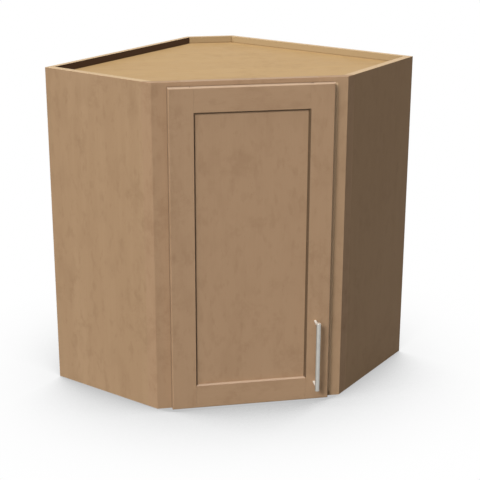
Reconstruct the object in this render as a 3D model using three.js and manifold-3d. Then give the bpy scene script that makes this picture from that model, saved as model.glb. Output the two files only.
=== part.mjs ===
// Diagonal corner wall cabinet: face frame, one recessed-panel door on two concealed link hinges.
// Millimetres, +Z up. The diagonal front faces -Y and the room corner lies towards +Y.
import * as THREE from 'three';
import { mergeVertices } from 'three/addons/utils/BufferGeometryUtils.js';
import Module from 'manifold-3d';

const wasm = await Module();
wasm.setup();

// ---- cabinet box ----
const WALL_RUN = 609.6; // each rear side, along its room wall
const SIDE_DEPTH = 304.8; // each side panel, out from its room wall
const CABINET_HEIGHT = 762;
const SIDE_THICK = 18;
const BACK_THICK = 12.7;
const DECK_THICK = 12.7; // top and bottom panels
const TOP_RECESS = 16; // top panel below the upper edges
const CORNER_CUT = 85; // of each wall run, left off for the corner back panel
const RABBET = 9; // into a side panel, for a back panel's end
const DADO = 6; // into a side panel, for the top and bottom panels
const FIT = 0.3; // clearance between neighbouring pieces
const CUT_PAST = 1; // how far a cutter runs past the face that it opens

// ---- face frame ----
const FRAME_THICK = 19.05;
const RAIL_WIDTH = 38.1;
const TENON_LENGTH = 16;
const TENON_THICK = 7;
const TENON_SHOULDER = 6; // tenon set in from each edge of its rail

// ---- shelves and their pins ----
const SHELF_COUNT = 2;
const SHELF_THICK = 15.9;
const SHELF_PLAY = 1.6;
const SHELF_SETBACK = 22; // front edge behind the face frame
const PIN_SHANK = 2.5;
const PIN_COLLAR = 4;
const PIN_COLLAR_THICK = 1.2;
const PIN_DEPTH = 9; // into its hole
const PIN_REACH = 8; // out of its hole
const PIN_HOLE_PLAY = 0.1;
const PIN_HOLE_EXTRA = 1; // hole deeper than its pin
const PIN_HOLE_PITCH = 32;
const PIN_ROW_INSET = 45; // pin rows from the shelf's front and rear corners
const SPARE_HOLES = 1; // above and below each pin

// ---- door ----
const DOOR_WIDTH = 365.1;
const OVERLAY = 31.75; // of the door over each side of the frame's opening
const REVEAL_TOP = 9;
const REVEAL_BOTTOM = 5;
const DOOR_THICK = 19.05;
const DOOR_GAP = 2.5; // door back to frame face, filled by the bumpers
const DOOR_MEMBER = 57.15; // stile and rail width
const DOOR_EASE = 3; // rounding of the outer front edges
const EASE_STEPS = 3;
const PANEL_RECESS = 6.35;
const PANEL_THICK = 6.35;
const STICK_BEVEL = 2; // sloped inner edge
const GROOVE_DEPTH = 9.5;
const GROOVE_PLAY = 0.15;
const PANEL_FLOAT = 1.6; // short of the groove's bottom

// ---- bar handle ----
const HANDLE_LENGTH = 168;
const HANDLE_DIAMETER = 10;
const POST_SPACING = 152.4;
const POST_DIAMETER = 6;
const HANDLE_STANDOFF = 31.4; // door face to bar axis
const HANDLE_INSET = 34; // bar axis from the door's free edge
const HANDLE_RISE = 36; // bar's lower end above the door's lower edge
const BAR_CHAMFER = 0.8;
const SCREW_RADIUS = 1.9;
const SCREW_HEAD = 4;
const SCREW_HEAD_THICK = 2.2;
const SCREW_SINK = 3; // counterbore depth in the door's back
const SCREW_INTO_POST = 9;
const HOLE_PLAY = 0.2;

// ---- door bumpers ----
const BUMPER_RADIUS = 4.5;
const BUMPER_INSET = 12;
const BUMPER_SQUASH = 0.1; // short of the frame face

// ---- concealed hinges; u runs from the door's hinge edge, v back from the door's back, w up ----
const HINGE_INSET = 90; // from the door's ends
const CUP_RADIUS = 17.5;
const CUP_OFFSET = 22.5;
const CUP_DEPTH = 12.8;
const CUP_WALL = 1.2;
const FLANGE_THICK = 0.8;
const FLANGE_RIM = 2;
const WING_REACH = 29;
const WING_HALF = 6;
const CUP_SCREW_SPREAD = 22.5;
const CUP_SCREW_OFFSET = 9.5; // past the cup's axis
const CUP_SCREW_LENGTH = 12;
const SMALL_HEAD = 3.4;
const SMALL_HEAD_THICK = 0.6;
const MAIN_ARM_PIVOT = [31.4, -1];
const MAIN_CUP_PIVOT = [12.6, -2.8];
const MAIN_ELBOWS = [[27, -5.2], [15, -5.2]];
const TAIL_ARM_PIVOT = [46.8, 5]; // the pin that the tail link's slot rides on
const TAIL_CUP_PIVOT = [11.7, -8.7];
const TAIL_ELBOWS = [[41.2, 5.2], [37.5, 3], [27.8, -6.8], [23.2, -9.8]];
const DOOR_TURN = 100; // degrees, closed to open
const MAIN_TURN = 48; // degrees that the main link turns meanwhile, the other way
const TAIL_TURN = 9.6; // degrees that the tail link turns meanwhile, with the main link
const PIVOT_RADIUS = 1;
const PIVOT_PLAY = 0.08;
const SLOT_PLAY = 0.15;
const SLOT_WALL = 1;
const MAIN_HALF = 1.7; // half the strip's width
const TAIL_HALF = 1.2;
const EYE_RADIUS = 2.2;
const LINK_START = 2; // main link below the hinge's middle plane by this, tail link above it
const LINK_THICK = 3.6;
const ARM_HALF = 1.7; // half the arm's thickness
const ARM_RADIUS = 2.1;
const ARM_ROOT = [36, 8.2];
const ARM_MAIN_ELBOW = [36, 3.8];
const ARM_TAIL_ELBOW = [43.5, 8.2];
const RIVET_HEAD = 1.7;
const RIVET_HEAD_THICK = 0.5;
const PLATE_THICK = 1.8;
const PLATE_HALF = 22;
const PLATE_DEPTH = 16;
const PLATE_SETBACK = 1.2; // behind the frame's face
const PLATE_SCREW_SPREAD = 15;
const PLATE_SCREW_LENGTH = 20;
const PLATE_SCREW_HEAD = 3.8;

// ---- roundness ----
const WELD_REACH = 1e-4; // points nearer than this are one point
const SIDES_LARGE = 36;
const SIDES_MEDIUM = 16;
const SIDES_SMALL = 12;

// ---- dependent sizes ----
const HALF = 0.5;
const DIAGONAL = Math.SQRT1_2;
const WALL_ANGLE = Math.PI / 4; // between the front and each room wall
const FRONT_WIDTH = (WALL_RUN - SIDE_DEPTH) * Math.SQRT2;
const CORNER_Y = (WALL_RUN + SIDE_DEPTH) * DIAGONAL;
const CORNER_BACK_Y = CORNER_Y - CORNER_CUT * DIAGONAL;
const CORNER_FACE_Y = CORNER_BACK_Y - BACK_THICK;
const SIDE_INNER = WALL_RUN - SIDE_THICK;
const OPENING_HALF = DOOR_WIDTH * HALF - OVERLAY;
const DECK_TOP_LOW = CABINET_HEIGHT - TOP_RECESS - DECK_THICK;
const DECK_BOTTOM_LOW = RAIL_WIDTH - DECK_THICK;
const SHELF_BAY = (DECK_TOP_LOW - RAIL_WIDTH) / (SHELF_COUNT + 1);
const DOOR_HEIGHT = CABINET_HEIGHT - REVEAL_TOP - REVEAL_BOTTOM;
const DOOR_LEFT = -DOOR_WIDTH * HALF;
const PANEL_BACK = PANEL_RECESS + PANEL_THICK;
const HANDLE_REAR = DOOR_GAP + DOOR_THICK;
const FRONT_REACH = HANDLE_REAR + HANDLE_STANDOFF + HANDLE_DIAMETER * HALF;

// ---- finishes, as photographed ----
const finish = (color, roughness, metalness) => ({ color, roughness, metalness });
const STAINED = finish(0xa08264, 0.55, 0);
const SIDE_VENEER = finish(0xac8d6d, 0.55, 0);
const MAPLE = finish(0xc6a87b, 0.6, 0);
const NICKEL = finish(0xb9b8ae, 0.32, 1);
const HINGE_STEEL = finish(0xa9abad, 0.35, 1);
const CLEAR_RUBBER = finish(0xd9d6cc, 0.5, 0);

// ---- solids ----
function toSolid(geometry) {
  const bare = geometry.index ? geometry.toNonIndexed() : geometry.clone();
  bare.deleteAttribute('normal');
  bare.deleteAttribute('uv');
  const merged = mergeVertices(bare, WELD_REACH);
  return new wasm.Manifold(new wasm.Mesh({
    numProp: 3,
    vertProperties: new Float32Array(merged.attributes.position.array),
    triVerts: new Uint32Array(merged.index.array),
  }));
}

function toGeometry(solid) {
  const mesh = solid.getMesh();
  const geometry = new THREE.BufferGeometry();
  geometry.setAttribute('position', new THREE.BufferAttribute(mesh.vertProperties, 3));
  geometry.setIndex(new THREE.BufferAttribute(mesh.triVerts, 1));
  return geometry;
}

function cut(body, ...tools) {
  return tools.reduce((left, tool) => left.subtract(tool), body);
}

function join(body, ...more) {
  return more.reduce((sum, piece) => sum.add(piece), body);
}

// A prism whose outline lies in the XY plane.
function prism(outline, low, high) {
  const shape = new THREE.Shape(outline.map(([x, y]) => new THREE.Vector2(x, y)));
  const geometry = new THREE.ExtrudeGeometry(shape, { depth: high - low, bevelEnabled: false });
  geometry.translate(0, 0, low);
  return toSolid(geometry);
}

// A prism whose outline is given as [x, z] and which runs from one y to another.
function uprightPrism(outline, front, back) {
  const shape = new THREE.Shape(outline.map(([x, z]) => new THREE.Vector2(x, z)));
  const geometry = new THREE.ExtrudeGeometry(shape, { depth: back - front, bevelEnabled: false });
  geometry.rotateX(Math.PI * HALF);
  geometry.translate(0, back, 0);
  return toSolid(geometry);
}

// A prism whose outline is given as [y, z] and which runs from one x to another.
function crossPrism(outline, left, right) {
  const shape = new THREE.Shape(outline.map(([y, z]) => new THREE.Vector2(y, z)));
  const geometry = new THREE.ExtrudeGeometry(shape, { depth: right - left, bevelEnabled: false });
  geometry.rotateZ(Math.PI * HALF);
  geometry.rotateY(Math.PI * HALF);
  geometry.translate(left, 0, 0);
  return toSolid(geometry);
}

function box([x0, x1], [y0, y1], [z0, z1]) {
  const geometry = new THREE.BoxGeometry(x1 - x0, y1 - y0, z1 - z0);
  geometry.translate((x0 + x1) * HALF, (y0 + y1) * HALF, (z0 + z1) * HALF);
  return toSolid(geometry);
}

// A revolved profile of [radius, distance] points, its axis turned to run along the given direction.
function revolve(profile, sides, at, direction) {
  const points = profile.map(([radius, distance]) => new THREE.Vector2(radius, distance));
  const geometry = new THREE.LatheGeometry(points, sides);
  const axis = new THREE.Vector3(...direction).normalize();
  const turn = new THREE.Quaternion().setFromUnitVectors(new THREE.Vector3(0, 1, 0), axis);
  geometry.applyQuaternion(turn);
  geometry.translate(...at);
  return toSolid(geometry);
}

function rod(radius, length, sides, at, direction) {
  return revolve([[0, 0], [radius, 0], [radius, length], [0, length]], sides, at, direction);
}

function circlePoints([x, y], radius, sides) {
  const turn = (2 * Math.PI) / sides;
  const at = (i) => [x + radius * Math.cos(i * turn), y + radius * Math.sin(i * turn)];
  return Array.from({ length: sides }, (_, i) => at(i));
}

// The outline that a band pulled tight round the points would take.
function band(points) {
  const sorted = [...points].sort((a, b) => a[0] - b[0] || a[1] - b[1]);
  const turnsRight = (a, b, c) => (b[0] - a[0]) * (c[1] - a[1]) - (b[1] - a[1]) * (c[0] - a[0]) <= 0;
  const half = (list) => {
    const chain = [];
    for (const point of list) {
      while (chain.length > 1 && turnsRight(chain.at(-2), chain.at(-1), point)) chain.pop();
      chain.push(point);
    }
    return chain.slice(0, -1);
  };
  return [...half(sorted), ...half(sorted.reverse())];
}

function piece(name, solid, look) {
  const mesh = new THREE.Mesh(toGeometry(solid), new THREE.MeshStandardMaterial(look));
  mesh.name = name;
  return mesh;
}

// ---- carcass pieces in a wall frame: x along the wall from the room corner, y out from the wall ----
const LEFT = { name: 'left', hand: 1, angle: Math.PI + WALL_ANGLE };
const RIGHT = { name: 'right', hand: -1, angle: -WALL_ANGLE };

function outTo(along, frontY) {
  return (CORNER_Y - frontY) * Math.SQRT2 - along;
}

function wallPrism(side, outline, low, high) {
  return prism(outline.map(([along, out]) => [along, out * side.hand]), low, high);
}

function shelfPinHeights() {
  const level = (i) => RAIL_WIDTH + SHELF_BAY * (i + 1) - PIN_SHANK - SHELF_THICK * HALF;
  return Array.from({ length: SHELF_COUNT }, (_, i) => level(i));
}

function pinHoleHeights() {
  const spread = Array.from({ length: 2 * SPARE_HOLES + 1 }, (_, i) => (i - SPARE_HOLES) * PIN_HOLE_PITCH);
  return shelfPinHeights().flatMap((height) => spread.map((step) => height + step));
}

function pinRows() {
  const rear = BACK_THICK + PIN_ROW_INSET;
  const front = outTo(SIDE_INNER, FRAME_THICK + SHELF_SETBACK) - PIN_ROW_INSET;
  return [rear, front];
}

function sidePinHoles(side) {
  const length = PIN_DEPTH + PIN_HOLE_EXTRA;
  const radius = PIN_SHANK + PIN_HOLE_PLAY;
  return pinRows().flatMap((out) => pinHoleHeights().map((height) => (
    rod(radius, length + FIT, SIDES_SMALL, [SIDE_INNER - FIT, out * side.hand, height], [1, 0, 0])
  )));
}

function deckDado(side, low) {
  const far = outTo(SIDE_INNER, 0);
  const outline = [
    [SIDE_INNER - CUT_PAST, -CUT_PAST],
    [SIDE_INNER + DADO, -CUT_PAST],
    [SIDE_INNER + DADO, far],
    [SIDE_INNER - CUT_PAST, far],
  ];
  return wallPrism(side, outline, low - FIT * HALF, low + DECK_THICK + FIT * HALF);
}

function sidePanel(side) {
  const meet = FRAME_THICK + FIT;
  const body = wallPrism(side, [
    [WALL_RUN, 0],
    [WALL_RUN, outTo(WALL_RUN, meet)],
    [SIDE_INNER, outTo(SIDE_INNER, meet)],
    [SIDE_INNER, 0],
  ], 0, CABINET_HEIGHT);
  const rabbet = wallPrism(side, [
    [SIDE_INNER - CUT_PAST, -CUT_PAST],
    [SIDE_INNER + RABBET, -CUT_PAST],
    [SIDE_INNER + RABBET, BACK_THICK + FIT],
    [SIDE_INNER - CUT_PAST, BACK_THICK + FIT],
  ], -CUT_PAST, CABINET_HEIGHT + CUT_PAST);
  const dados = [DECK_BOTTOM_LOW, DECK_TOP_LOW].map((low) => deckDado(side, low));
  return piece(`${side.name}_side_panel`, cut(body, rabbet, ...dados, ...sidePinHoles(side)), SIDE_VENEER);
}

function backPanel(side) {
  const mitre = (Math.SQRT2 - 1) * BACK_THICK;
  const end = SIDE_INNER + RABBET - FIT;
  const body = wallPrism(side, [
    [CORNER_CUT + FIT, 0],
    [end, 0],
    [end, BACK_THICK],
    [CORNER_CUT + FIT + mitre, BACK_THICK],
  ], 0, CABINET_HEIGHT);
  return piece(`${side.name}_back_panel`, body, MAPLE);
}

function pinProfile() {
  return [
    [0, -PIN_DEPTH],
    [PIN_SHANK, -PIN_DEPTH],
    [PIN_SHANK, 0],
    [PIN_COLLAR, 0],
    [PIN_COLLAR, PIN_COLLAR_THICK],
    [PIN_SHANK, PIN_COLLAR_THICK],
    [PIN_SHANK, PIN_REACH],
    [0, PIN_REACH],
  ];
}

function shelfPin(name, at, direction) {
  return piece(name, revolve(pinProfile(), SIDES_SMALL, at, direction), NICKEL);
}

function sidePins(side) {
  const places = ['rear', 'front'];
  return shelfPinHeights().flatMap((height, level) => pinRows().map((out, row) => (
    shelfPin(
      `shelf_pin_${level + 1}_${side.name}_${places[row]}`,
      [SIDE_INNER, out * side.hand, height],
      [-1, 0, 0],
    )
  )));
}

function wallGroup(side) {
  const group = new THREE.Group();
  group.position.set(0, CORNER_Y, 0);
  group.rotation.z = side.angle;
  group.add(sidePanel(side), backPanel(side), ...sidePins(side));
  return group;
}

// ---- carcass pieces that follow the room's plan ----
// Outline of a board inside the box, symmetric about x = 0.
function roomOutline(sideAt, backAt, frontY, cornerY) {
  const toPlan = (along, out) => [(along - out) * DIAGONAL, CORNER_Y - (along + out) * DIAGONAL];
  const half = [
    toPlan(sideAt, outTo(sideAt, frontY)),
    toPlan(sideAt, backAt),
    toPlan(outTo(backAt, cornerY), backAt),
  ];
  const mirrored = half.map(([x, y]) => [-x, y]).reverse();
  return [...half, ...mirrored];
}

function deckPanel(name, low) {
  const inner = SIDE_INNER + DADO - FIT;
  const outline = roomOutline(inner, BACK_THICK + FIT, FRAME_THICK + FIT, CORNER_FACE_Y - FIT);
  return piece(name, prism(outline, low, low + DECK_THICK), MAPLE);
}

function cornerBackPanel() {
  const rear = CORNER_CUT * DIAGONAL - FIT;
  const front = rear - BACK_THICK * (Math.SQRT2 - 1);
  const outline = [
    [-rear, CORNER_BACK_Y],
    [-front, CORNER_FACE_Y],
    [front, CORNER_FACE_Y],
    [rear, CORNER_BACK_Y],
  ];
  const length = PIN_DEPTH + PIN_HOLE_EXTRA + FIT;
  const holes = pinHoleHeights().map((height) => (
    rod(PIN_SHANK + PIN_HOLE_PLAY, length, SIDES_SMALL, [0, CORNER_FACE_Y - FIT, height], [0, 1, 0])
  ));
  return piece('corner_back_panel', cut(prism(outline, 0, CABINET_HEIGHT), ...holes), MAPLE);
}

function shelf(index, name) {
  const side = SIDE_INNER - SHELF_PLAY;
  const back = BACK_THICK + SHELF_PLAY;
  const outline = roomOutline(side, back, FRAME_THICK + SHELF_SETBACK, CORNER_FACE_Y - SHELF_PLAY);
  const low = shelfPinHeights()[index] + PIN_SHANK + FIT;
  return piece(name, prism(outline, low, low + SHELF_THICK), MAPLE);
}

function cornerPins() {
  return shelfPinHeights().map((height, level) => (
    shelfPin(`shelf_pin_${level + 1}_corner`, [0, CORNER_FACE_Y, height], [0, -1, 0])
  ));
}

// ---- face frame ----
function tenonHeights(low) {
  return [low + TENON_SHOULDER, low + RAIL_WIDTH - TENON_SHOULDER];
}

function frameRail(name, low) {
  const middle = FRAME_THICK * HALF;
  const body = box([-OPENING_HALF, OPENING_HALF], [0, FRAME_THICK], [low, low + RAIL_WIDTH]);
  const tenon = box(
    [-OPENING_HALF - TENON_LENGTH, OPENING_HALF + TENON_LENGTH],
    [middle - TENON_THICK * HALF, middle + TENON_THICK * HALF],
    tenonHeights(low),
  );
  return piece(name, join(body, tenon), STAINED);
}

function mortise(low) {
  const middle = FRAME_THICK * HALF;
  const reach = OPENING_HALF + TENON_LENGTH + FIT;
  const [bottom, top] = tenonHeights(low);
  const half = TENON_THICK * HALF + FIT * HALF;
  return box([-reach, reach], [middle - half, middle + half], [bottom - FIT * HALF, top + FIT * HALF]);
}

function hingeHeights() {
  return [REVEAL_BOTTOM + HINGE_INSET, REVEAL_BOTTOM + DOOR_HEIGHT - HINGE_INSET];
}

function plateScrewPlaces() {
  return [-1, 1].map((end) => end * PLATE_SCREW_SPREAD);
}

function plateMiddle() {
  return PLATE_SETBACK + PLATE_DEPTH * HALF;
}

function plateScrewPilots() {
  const length = PLATE_SCREW_LENGTH + CUT_PAST;
  const start = CUT_PAST - OPENING_HALF;
  return hingeHeights().flatMap((height) => plateScrewPlaces().map((rise) => (
    rod(SCREW_RADIUS + HOLE_PLAY, length, SIDES_SMALL, [start, plateMiddle(), height + rise], [-1, 0, 0])
  )));
}

function frameStile(side) {
  const sign = -side.hand;
  const outline = [
    [sign * OPENING_HALF, 0],
    [sign * FRONT_WIDTH * HALF, 0],
    [sign * (FRONT_WIDTH * HALF + FRAME_THICK), FRAME_THICK],
    [sign * OPENING_HALF, FRAME_THICK],
  ];
  const body = prism(outline, 0, CABINET_HEIGHT);
  const mortised = cut(body, mortise(0), mortise(CABINET_HEIGHT - RAIL_WIDTH));
  const drilled = side === LEFT ? cut(mortised, ...plateScrewPilots()) : mortised;
  return piece(`frame_stile_${side.name}`, drilled, STAINED);
}

// ---- door; x across from its middle, y from its front face back, z up from its lower edge ----
// A member's section as [across, back]: across runs in from the outer edge. With play it is the
// cutter that copes a rail's end, fuller by that play and proud of the rail all round.
function memberSection(play) {
  const proud = play > 0 ? CUT_PAST : 0;
  const arc = (i) => (Math.PI * HALF * i) / EASE_STEPS;
  const ease = Array.from({ length: EASE_STEPS + 1 }, (_, i) => [
    DOOR_EASE - DOOR_EASE * Math.cos(arc(i)),
    DOOR_EASE - DOOR_EASE * Math.sin(arc(i)),
  ]);
  const inner = DOOR_MEMBER + play;
  const slope = STICK_BEVEL / (PANEL_RECESS - GROOVE_PLAY);
  const grooveFront = PANEL_RECESS - GROOVE_PLAY + play;
  const grooveBack = PANEL_BACK + GROOVE_PLAY - play;
  const grooveFloor = inner - GROOVE_DEPTH;
  return [
    ...(proud ? [[0, -proud]] : ease),
    [inner - STICK_BEVEL - slope * proud, -proud],
    [inner, PANEL_RECESS - GROOVE_PLAY],
    [inner, grooveFront],
    [grooveFloor, grooveFront],
    [grooveFloor, grooveBack],
    [inner, grooveBack],
    [inner, DOOR_THICK + proud],
    [0, DOOR_THICK + proud],
  ];
}

function stileSolid(sign, play) {
  const proud = play > 0 ? CUT_PAST : 0;
  const outline = memberSection(play).map(([across, back]) => [sign * (DOOR_WIDTH * HALF - across), back]);
  return prism(outline, -proud, DOOR_HEIGHT + proud);
}

function railSolid(end) {
  const up = (across) => (end < 0 ? across : DOOR_HEIGHT - across);
  const outline = memberSection(0).map(([across, back]) => [back, up(across)]);
  const reach = DOOR_WIDTH * HALF - DOOR_MEMBER + GROOVE_DEPTH - PANEL_FLOAT;
  return crossPrism(outline, -reach, reach);
}

// The rounded upper and lower ends of the door, as the space outside them.
function endEaseCutter(end) {
  const up = (across) => (end < 0 ? across : DOOR_HEIGHT - across);
  const arc = (i) => (Math.PI * HALF * i) / EASE_STEPS;
  const curve = Array.from({ length: EASE_STEPS + 1 }, (_, i) => [
    DOOR_EASE - DOOR_EASE * Math.sin(arc(i)),
    up(DOOR_EASE - DOOR_EASE * Math.cos(arc(i))),
  ]);
  const outside = up(-CUT_PAST);
  const outline = [...curve, [-CUT_PAST, up(DOOR_EASE)], [-CUT_PAST, outside], [DOOR_EASE, outside]];
  return crossPrism(outline, -DOOR_WIDTH, DOOR_WIDTH);
}

function hingeBores() {
  const across = DOOR_LEFT + CUP_OFFSET;
  const bore = CUP_DEPTH + HOLE_PLAY + CUT_PAST;
  const start = DOOR_THICK + CUT_PAST;
  return hingeHeights().map((height) => height - REVEAL_BOTTOM).flatMap((height) => [
    rod(CUP_RADIUS + HOLE_PLAY, bore, SIDES_LARGE, [across, start, height], [0, -1, 0]),
    ...[-1, 1].map((end) => rod(
      SCREW_RADIUS + HOLE_PLAY,
      CUP_SCREW_LENGTH + CUT_PAST,
      SIDES_SMALL,
      [across + CUP_SCREW_OFFSET, start, height + end * CUP_SCREW_SPREAD],
      [0, -1, 0],
    )),
  ]);
}

function handleScrewPlaces() {
  const across = DOOR_WIDTH * HALF - HANDLE_INSET;
  const middle = HANDLE_RISE + HANDLE_LENGTH * HALF;
  return [-1, 1].map((end) => [across, middle + end * POST_SPACING * HALF]);
}

function handleScrewHoles() {
  const through = DOOR_THICK + 2 * CUT_PAST;
  const sink = SCREW_SINK + CUT_PAST;
  return handleScrewPlaces().flatMap(([x, z]) => [
    rod(SCREW_RADIUS + HOLE_PLAY, through, SIDES_SMALL, [x, -CUT_PAST, z], [0, 1, 0]),
    rod(SCREW_HEAD + HOLE_PLAY, sink, SIDES_MEDIUM, [x, DOOR_THICK - SCREW_SINK, z], [0, 1, 0]),
  ]);
}

function doorStile(sign, name, bores) {
  const body = cut(stileSolid(sign, 0), endEaseCutter(-1), endEaseCutter(1), ...bores);
  return piece(name, body, STAINED);
}

function doorRail(end, name) {
  const coped = cut(railSolid(end), stileSolid(-1, GROOVE_PLAY), stileSolid(1, GROOVE_PLAY));
  return piece(name, coped, STAINED);
}

function doorPanel() {
  const margin = DOOR_MEMBER - GROOVE_DEPTH + PANEL_FLOAT;
  const half = DOOR_WIDTH * HALF - margin;
  const body = box([-half, half], [PANEL_RECESS, PANEL_BACK], [margin, DOOR_HEIGHT - margin]);
  const tenonSpace = [margin - CUT_PAST, DOOR_MEMBER + FIT];
  return piece('door_centre_panel', cut(body, ...panelNotches(half, tenonSpace)), STAINED);
}

// The panel's corners are cut back where the rails' stub tenons fill the stiles' grooves.
function panelNotches(half, [low, high]) {
  const inner = DOOR_WIDTH * HALF - DOOR_MEMBER - FIT;
  const spans = [[low, high], [DOOR_HEIGHT - high, DOOR_HEIGHT - low]];
  return [-1, 1].flatMap((sign) => spans.map((span) => (
    box([sign * inner, sign * (half + CUT_PAST)].sort((a, b) => a - b), [0, DOOR_THICK], span)
  )));
}

// ---- handle; in the door's frame ----
function barProfile() {
  const radius = HANDLE_DIAMETER * HALF;
  return [
    [0, 0],
    [radius - BAR_CHAMFER, 0],
    [radius, BAR_CHAMFER],
    [radius, HANDLE_LENGTH - BAR_CHAMFER],
    [radius - BAR_CHAMFER, HANDLE_LENGTH],
    [0, HANDLE_LENGTH],
  ];
}

function handleBarSolid() {
  const across = DOOR_WIDTH * HALF - HANDLE_INSET;
  return revolve(barProfile(), SIDES_MEDIUM, [across, -HANDLE_STANDOFF, HANDLE_RISE], [0, 0, 1]);
}

function handlePost([x, z], name) {
  const shaft = rod(POST_DIAMETER * HALF, HANDLE_STANDOFF, SIDES_MEDIUM, [x, -HANDLE_STANDOFF, z], [0, 1, 0]);
  const tapped = rod(
    SCREW_RADIUS + PIN_HOLE_PLAY,
    SCREW_INTO_POST + 2 * CUT_PAST,
    SIDES_SMALL,
    [x, -SCREW_INTO_POST - CUT_PAST, z],
    [0, 1, 0],
  );
  return piece(name, cut(shaft, tapped, handleBarSolid()), NICKEL);
}

function screwProfile(radius, length, head, headThick) {
  return [
    [0, 0],
    [radius * HALF, 0],
    [radius, radius],
    [radius, length],
    [head, length],
    [head, length + headThick * HALF],
    [head * HALF, length + headThick],
    [0, length + headThick],
  ];
}

function handleScrew([x, z], name) {
  const length = SCREW_INTO_POST + DOOR_THICK - SCREW_SINK;
  const profile = screwProfile(SCREW_RADIUS, length, SCREW_HEAD, SCREW_HEAD_THICK);
  return piece(name, revolve(profile, SIDES_SMALL, [x, -SCREW_INTO_POST, z], [0, 1, 0]), HINGE_STEEL);
}

function bumper(z, name) {
  const thick = DOOR_GAP - BUMPER_SQUASH;
  const at = [DOOR_WIDTH * HALF - BUMPER_INSET, DOOR_THICK, z];
  const profile = [
    [0, 0],
    [BUMPER_RADIUS, 0],
    [BUMPER_RADIUS, thick * HALF],
    [BUMPER_RADIUS * HALF, thick],
    [0, thick],
  ];
  return piece(name, revolve(profile, SIDES_SMALL, at, [0, 1, 0]), CLEAR_RUBBER);
}

function doorGroup() {
  const group = new THREE.Group();
  group.position.set(0, -HANDLE_REAR, REVEAL_BOTTOM);
  const ends = ['lower', 'upper'];
  group.add(
    doorStile(-1, 'door_stile_hinge_side', hingeBores()),
    doorStile(1, 'door_stile_handle_side', handleScrewHoles()),
    doorRail(-1, 'door_rail_bottom'),
    doorRail(1, 'door_rail_top'),
    doorPanel(),
    piece('handle_bar', handleBarSolid(), NICKEL),
    ...handleScrewPlaces().map((place, i) => handlePost(place, `handle_post_${ends[i]}`)),
    ...handleScrewPlaces().map((place, i) => handleScrew(place, `handle_screw_${ends[i]}`)),
    bumper(BUMPER_INSET, 'door_bumper_lower'),
    bumper(DOOR_HEIGHT - BUMPER_INSET, 'door_bumper_upper'),
  );
  return group;
}

// ---- hinges; each in its own u, v, w frame ----
function wing(end) {
  const middle = CUP_OFFSET + CUP_SCREW_OFFSET;
  const root = [[middle - WING_HALF, 0], [middle + WING_HALF, 0]];
  const tip = circlePoints([middle, end * (WING_REACH - WING_HALF)], WING_HALF, SIDES_MEDIUM);
  return uprightPrism(band([...root, ...tip]), 0, FLANGE_THICK);
}

function pivotPin([u, v], from, to) {
  const length = Math.abs(to - from);
  return rod(PIVOT_RADIUS, length, SIDES_SMALL, [u, v, from], [0, 0, Math.sign(to - from)]);
}

// How far the cup's inner wall stands from its middle, above and below a pivot.
function cavityHalfHeight([u]) {
  const radius = CUP_RADIUS - CUP_WALL;
  return Math.sqrt(radius * radius - (u - CUP_OFFSET) * (u - CUP_OFFSET));
}

function hingeCup(name) {
  const shell = rod(CUP_RADIUS, CUP_DEPTH, SIDES_LARGE, [CUP_OFFSET, -CUP_DEPTH, 0], [0, 1, 0]);
  const flange = rod(CUP_RADIUS + FLANGE_RIM, FLANGE_THICK, SIDES_LARGE, [CUP_OFFSET, 0, 0], [0, 1, 0]);
  const body = join(shell, flange, wing(-1), wing(1));
  const floor = CUP_DEPTH - CUP_WALL;
  const open = floor + FLANGE_THICK + CUT_PAST;
  const cavity = rod(CUP_RADIUS - CUP_WALL, open, SIDES_LARGE, [CUP_OFFSET, -floor, 0], [0, 1, 0]);
  const screwHoles = [-1, 1].map((end) => rod(
    SCREW_RADIUS + HOLE_PLAY,
    FLANGE_THICK + 2 * CUT_PAST,
    SIDES_SMALL,
    [CUP_OFFSET + CUP_SCREW_OFFSET, -CUT_PAST, end * CUP_SCREW_SPREAD],
    [0, 1, 0],
  ));
  const inWall = CUP_WALL * HALF;
  const start = LINK_START - PIVOT_PLAY;
  return piece(name, join(
    cut(body, cavity, ...screwHoles),
    pivotPin(MAIN_CUP_PIVOT, -start, -cavityHalfHeight(MAIN_CUP_PIVOT) - inWall),
    pivotPin(TAIL_CUP_PIVOT, start, cavityHalfHeight(TAIL_CUP_PIVOT) + inWall),
  ), HINGE_STEEL);
}

// A flat strip of one width that follows a line of points.
function strip(points, radius, low, high) {
  const disc = (point) => circlePoints(point, radius, SIDES_MEDIUM);
  const leg = (from, to) => prism(band([...disc(from), ...disc(to)]), low, high);
  return join(...points.slice(1).map((point, i) => leg(points[i], point)));
}

function eye(point, low, high) {
  return prism(circlePoints(point, EYE_RADIUS, SIDES_MEDIUM), low, high);
}

function pivotHole([u, v], low) {
  const through = LINK_THICK + 2 * CUT_PAST;
  return rod(PIVOT_RADIUS + PIVOT_PLAY, through, SIDES_SMALL, [u, v, low - CUT_PAST], [0, 0, 1]);
}

function mainLink(name) {
  const low = -LINK_START - LINK_THICK;
  const body = join(
    strip([MAIN_ARM_PIVOT, ...MAIN_ELBOWS, MAIN_CUP_PIVOT], MAIN_HALF, low, -LINK_START),
    eye(MAIN_ARM_PIVOT, low, -LINK_START),
    eye(MAIN_CUP_PIVOT, low, -LINK_START),
  );
  return piece(name, cut(body, pivotHole(MAIN_ARM_PIVOT, low), pivotHole(MAIN_CUP_PIVOT, low)), HINGE_STEEL);
}

function turned([x, y], degrees) {
  const angle = THREE.MathUtils.degToRad(degrees);
  return [x * Math.cos(angle) - y * Math.sin(angle), x * Math.sin(angle) + y * Math.cos(angle)];
}

function plus([a, b], [c, d]) {
  return [a + c, b + d];
}

function minus([a, b], [c, d]) {
  return [a - c, b - d];
}

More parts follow.
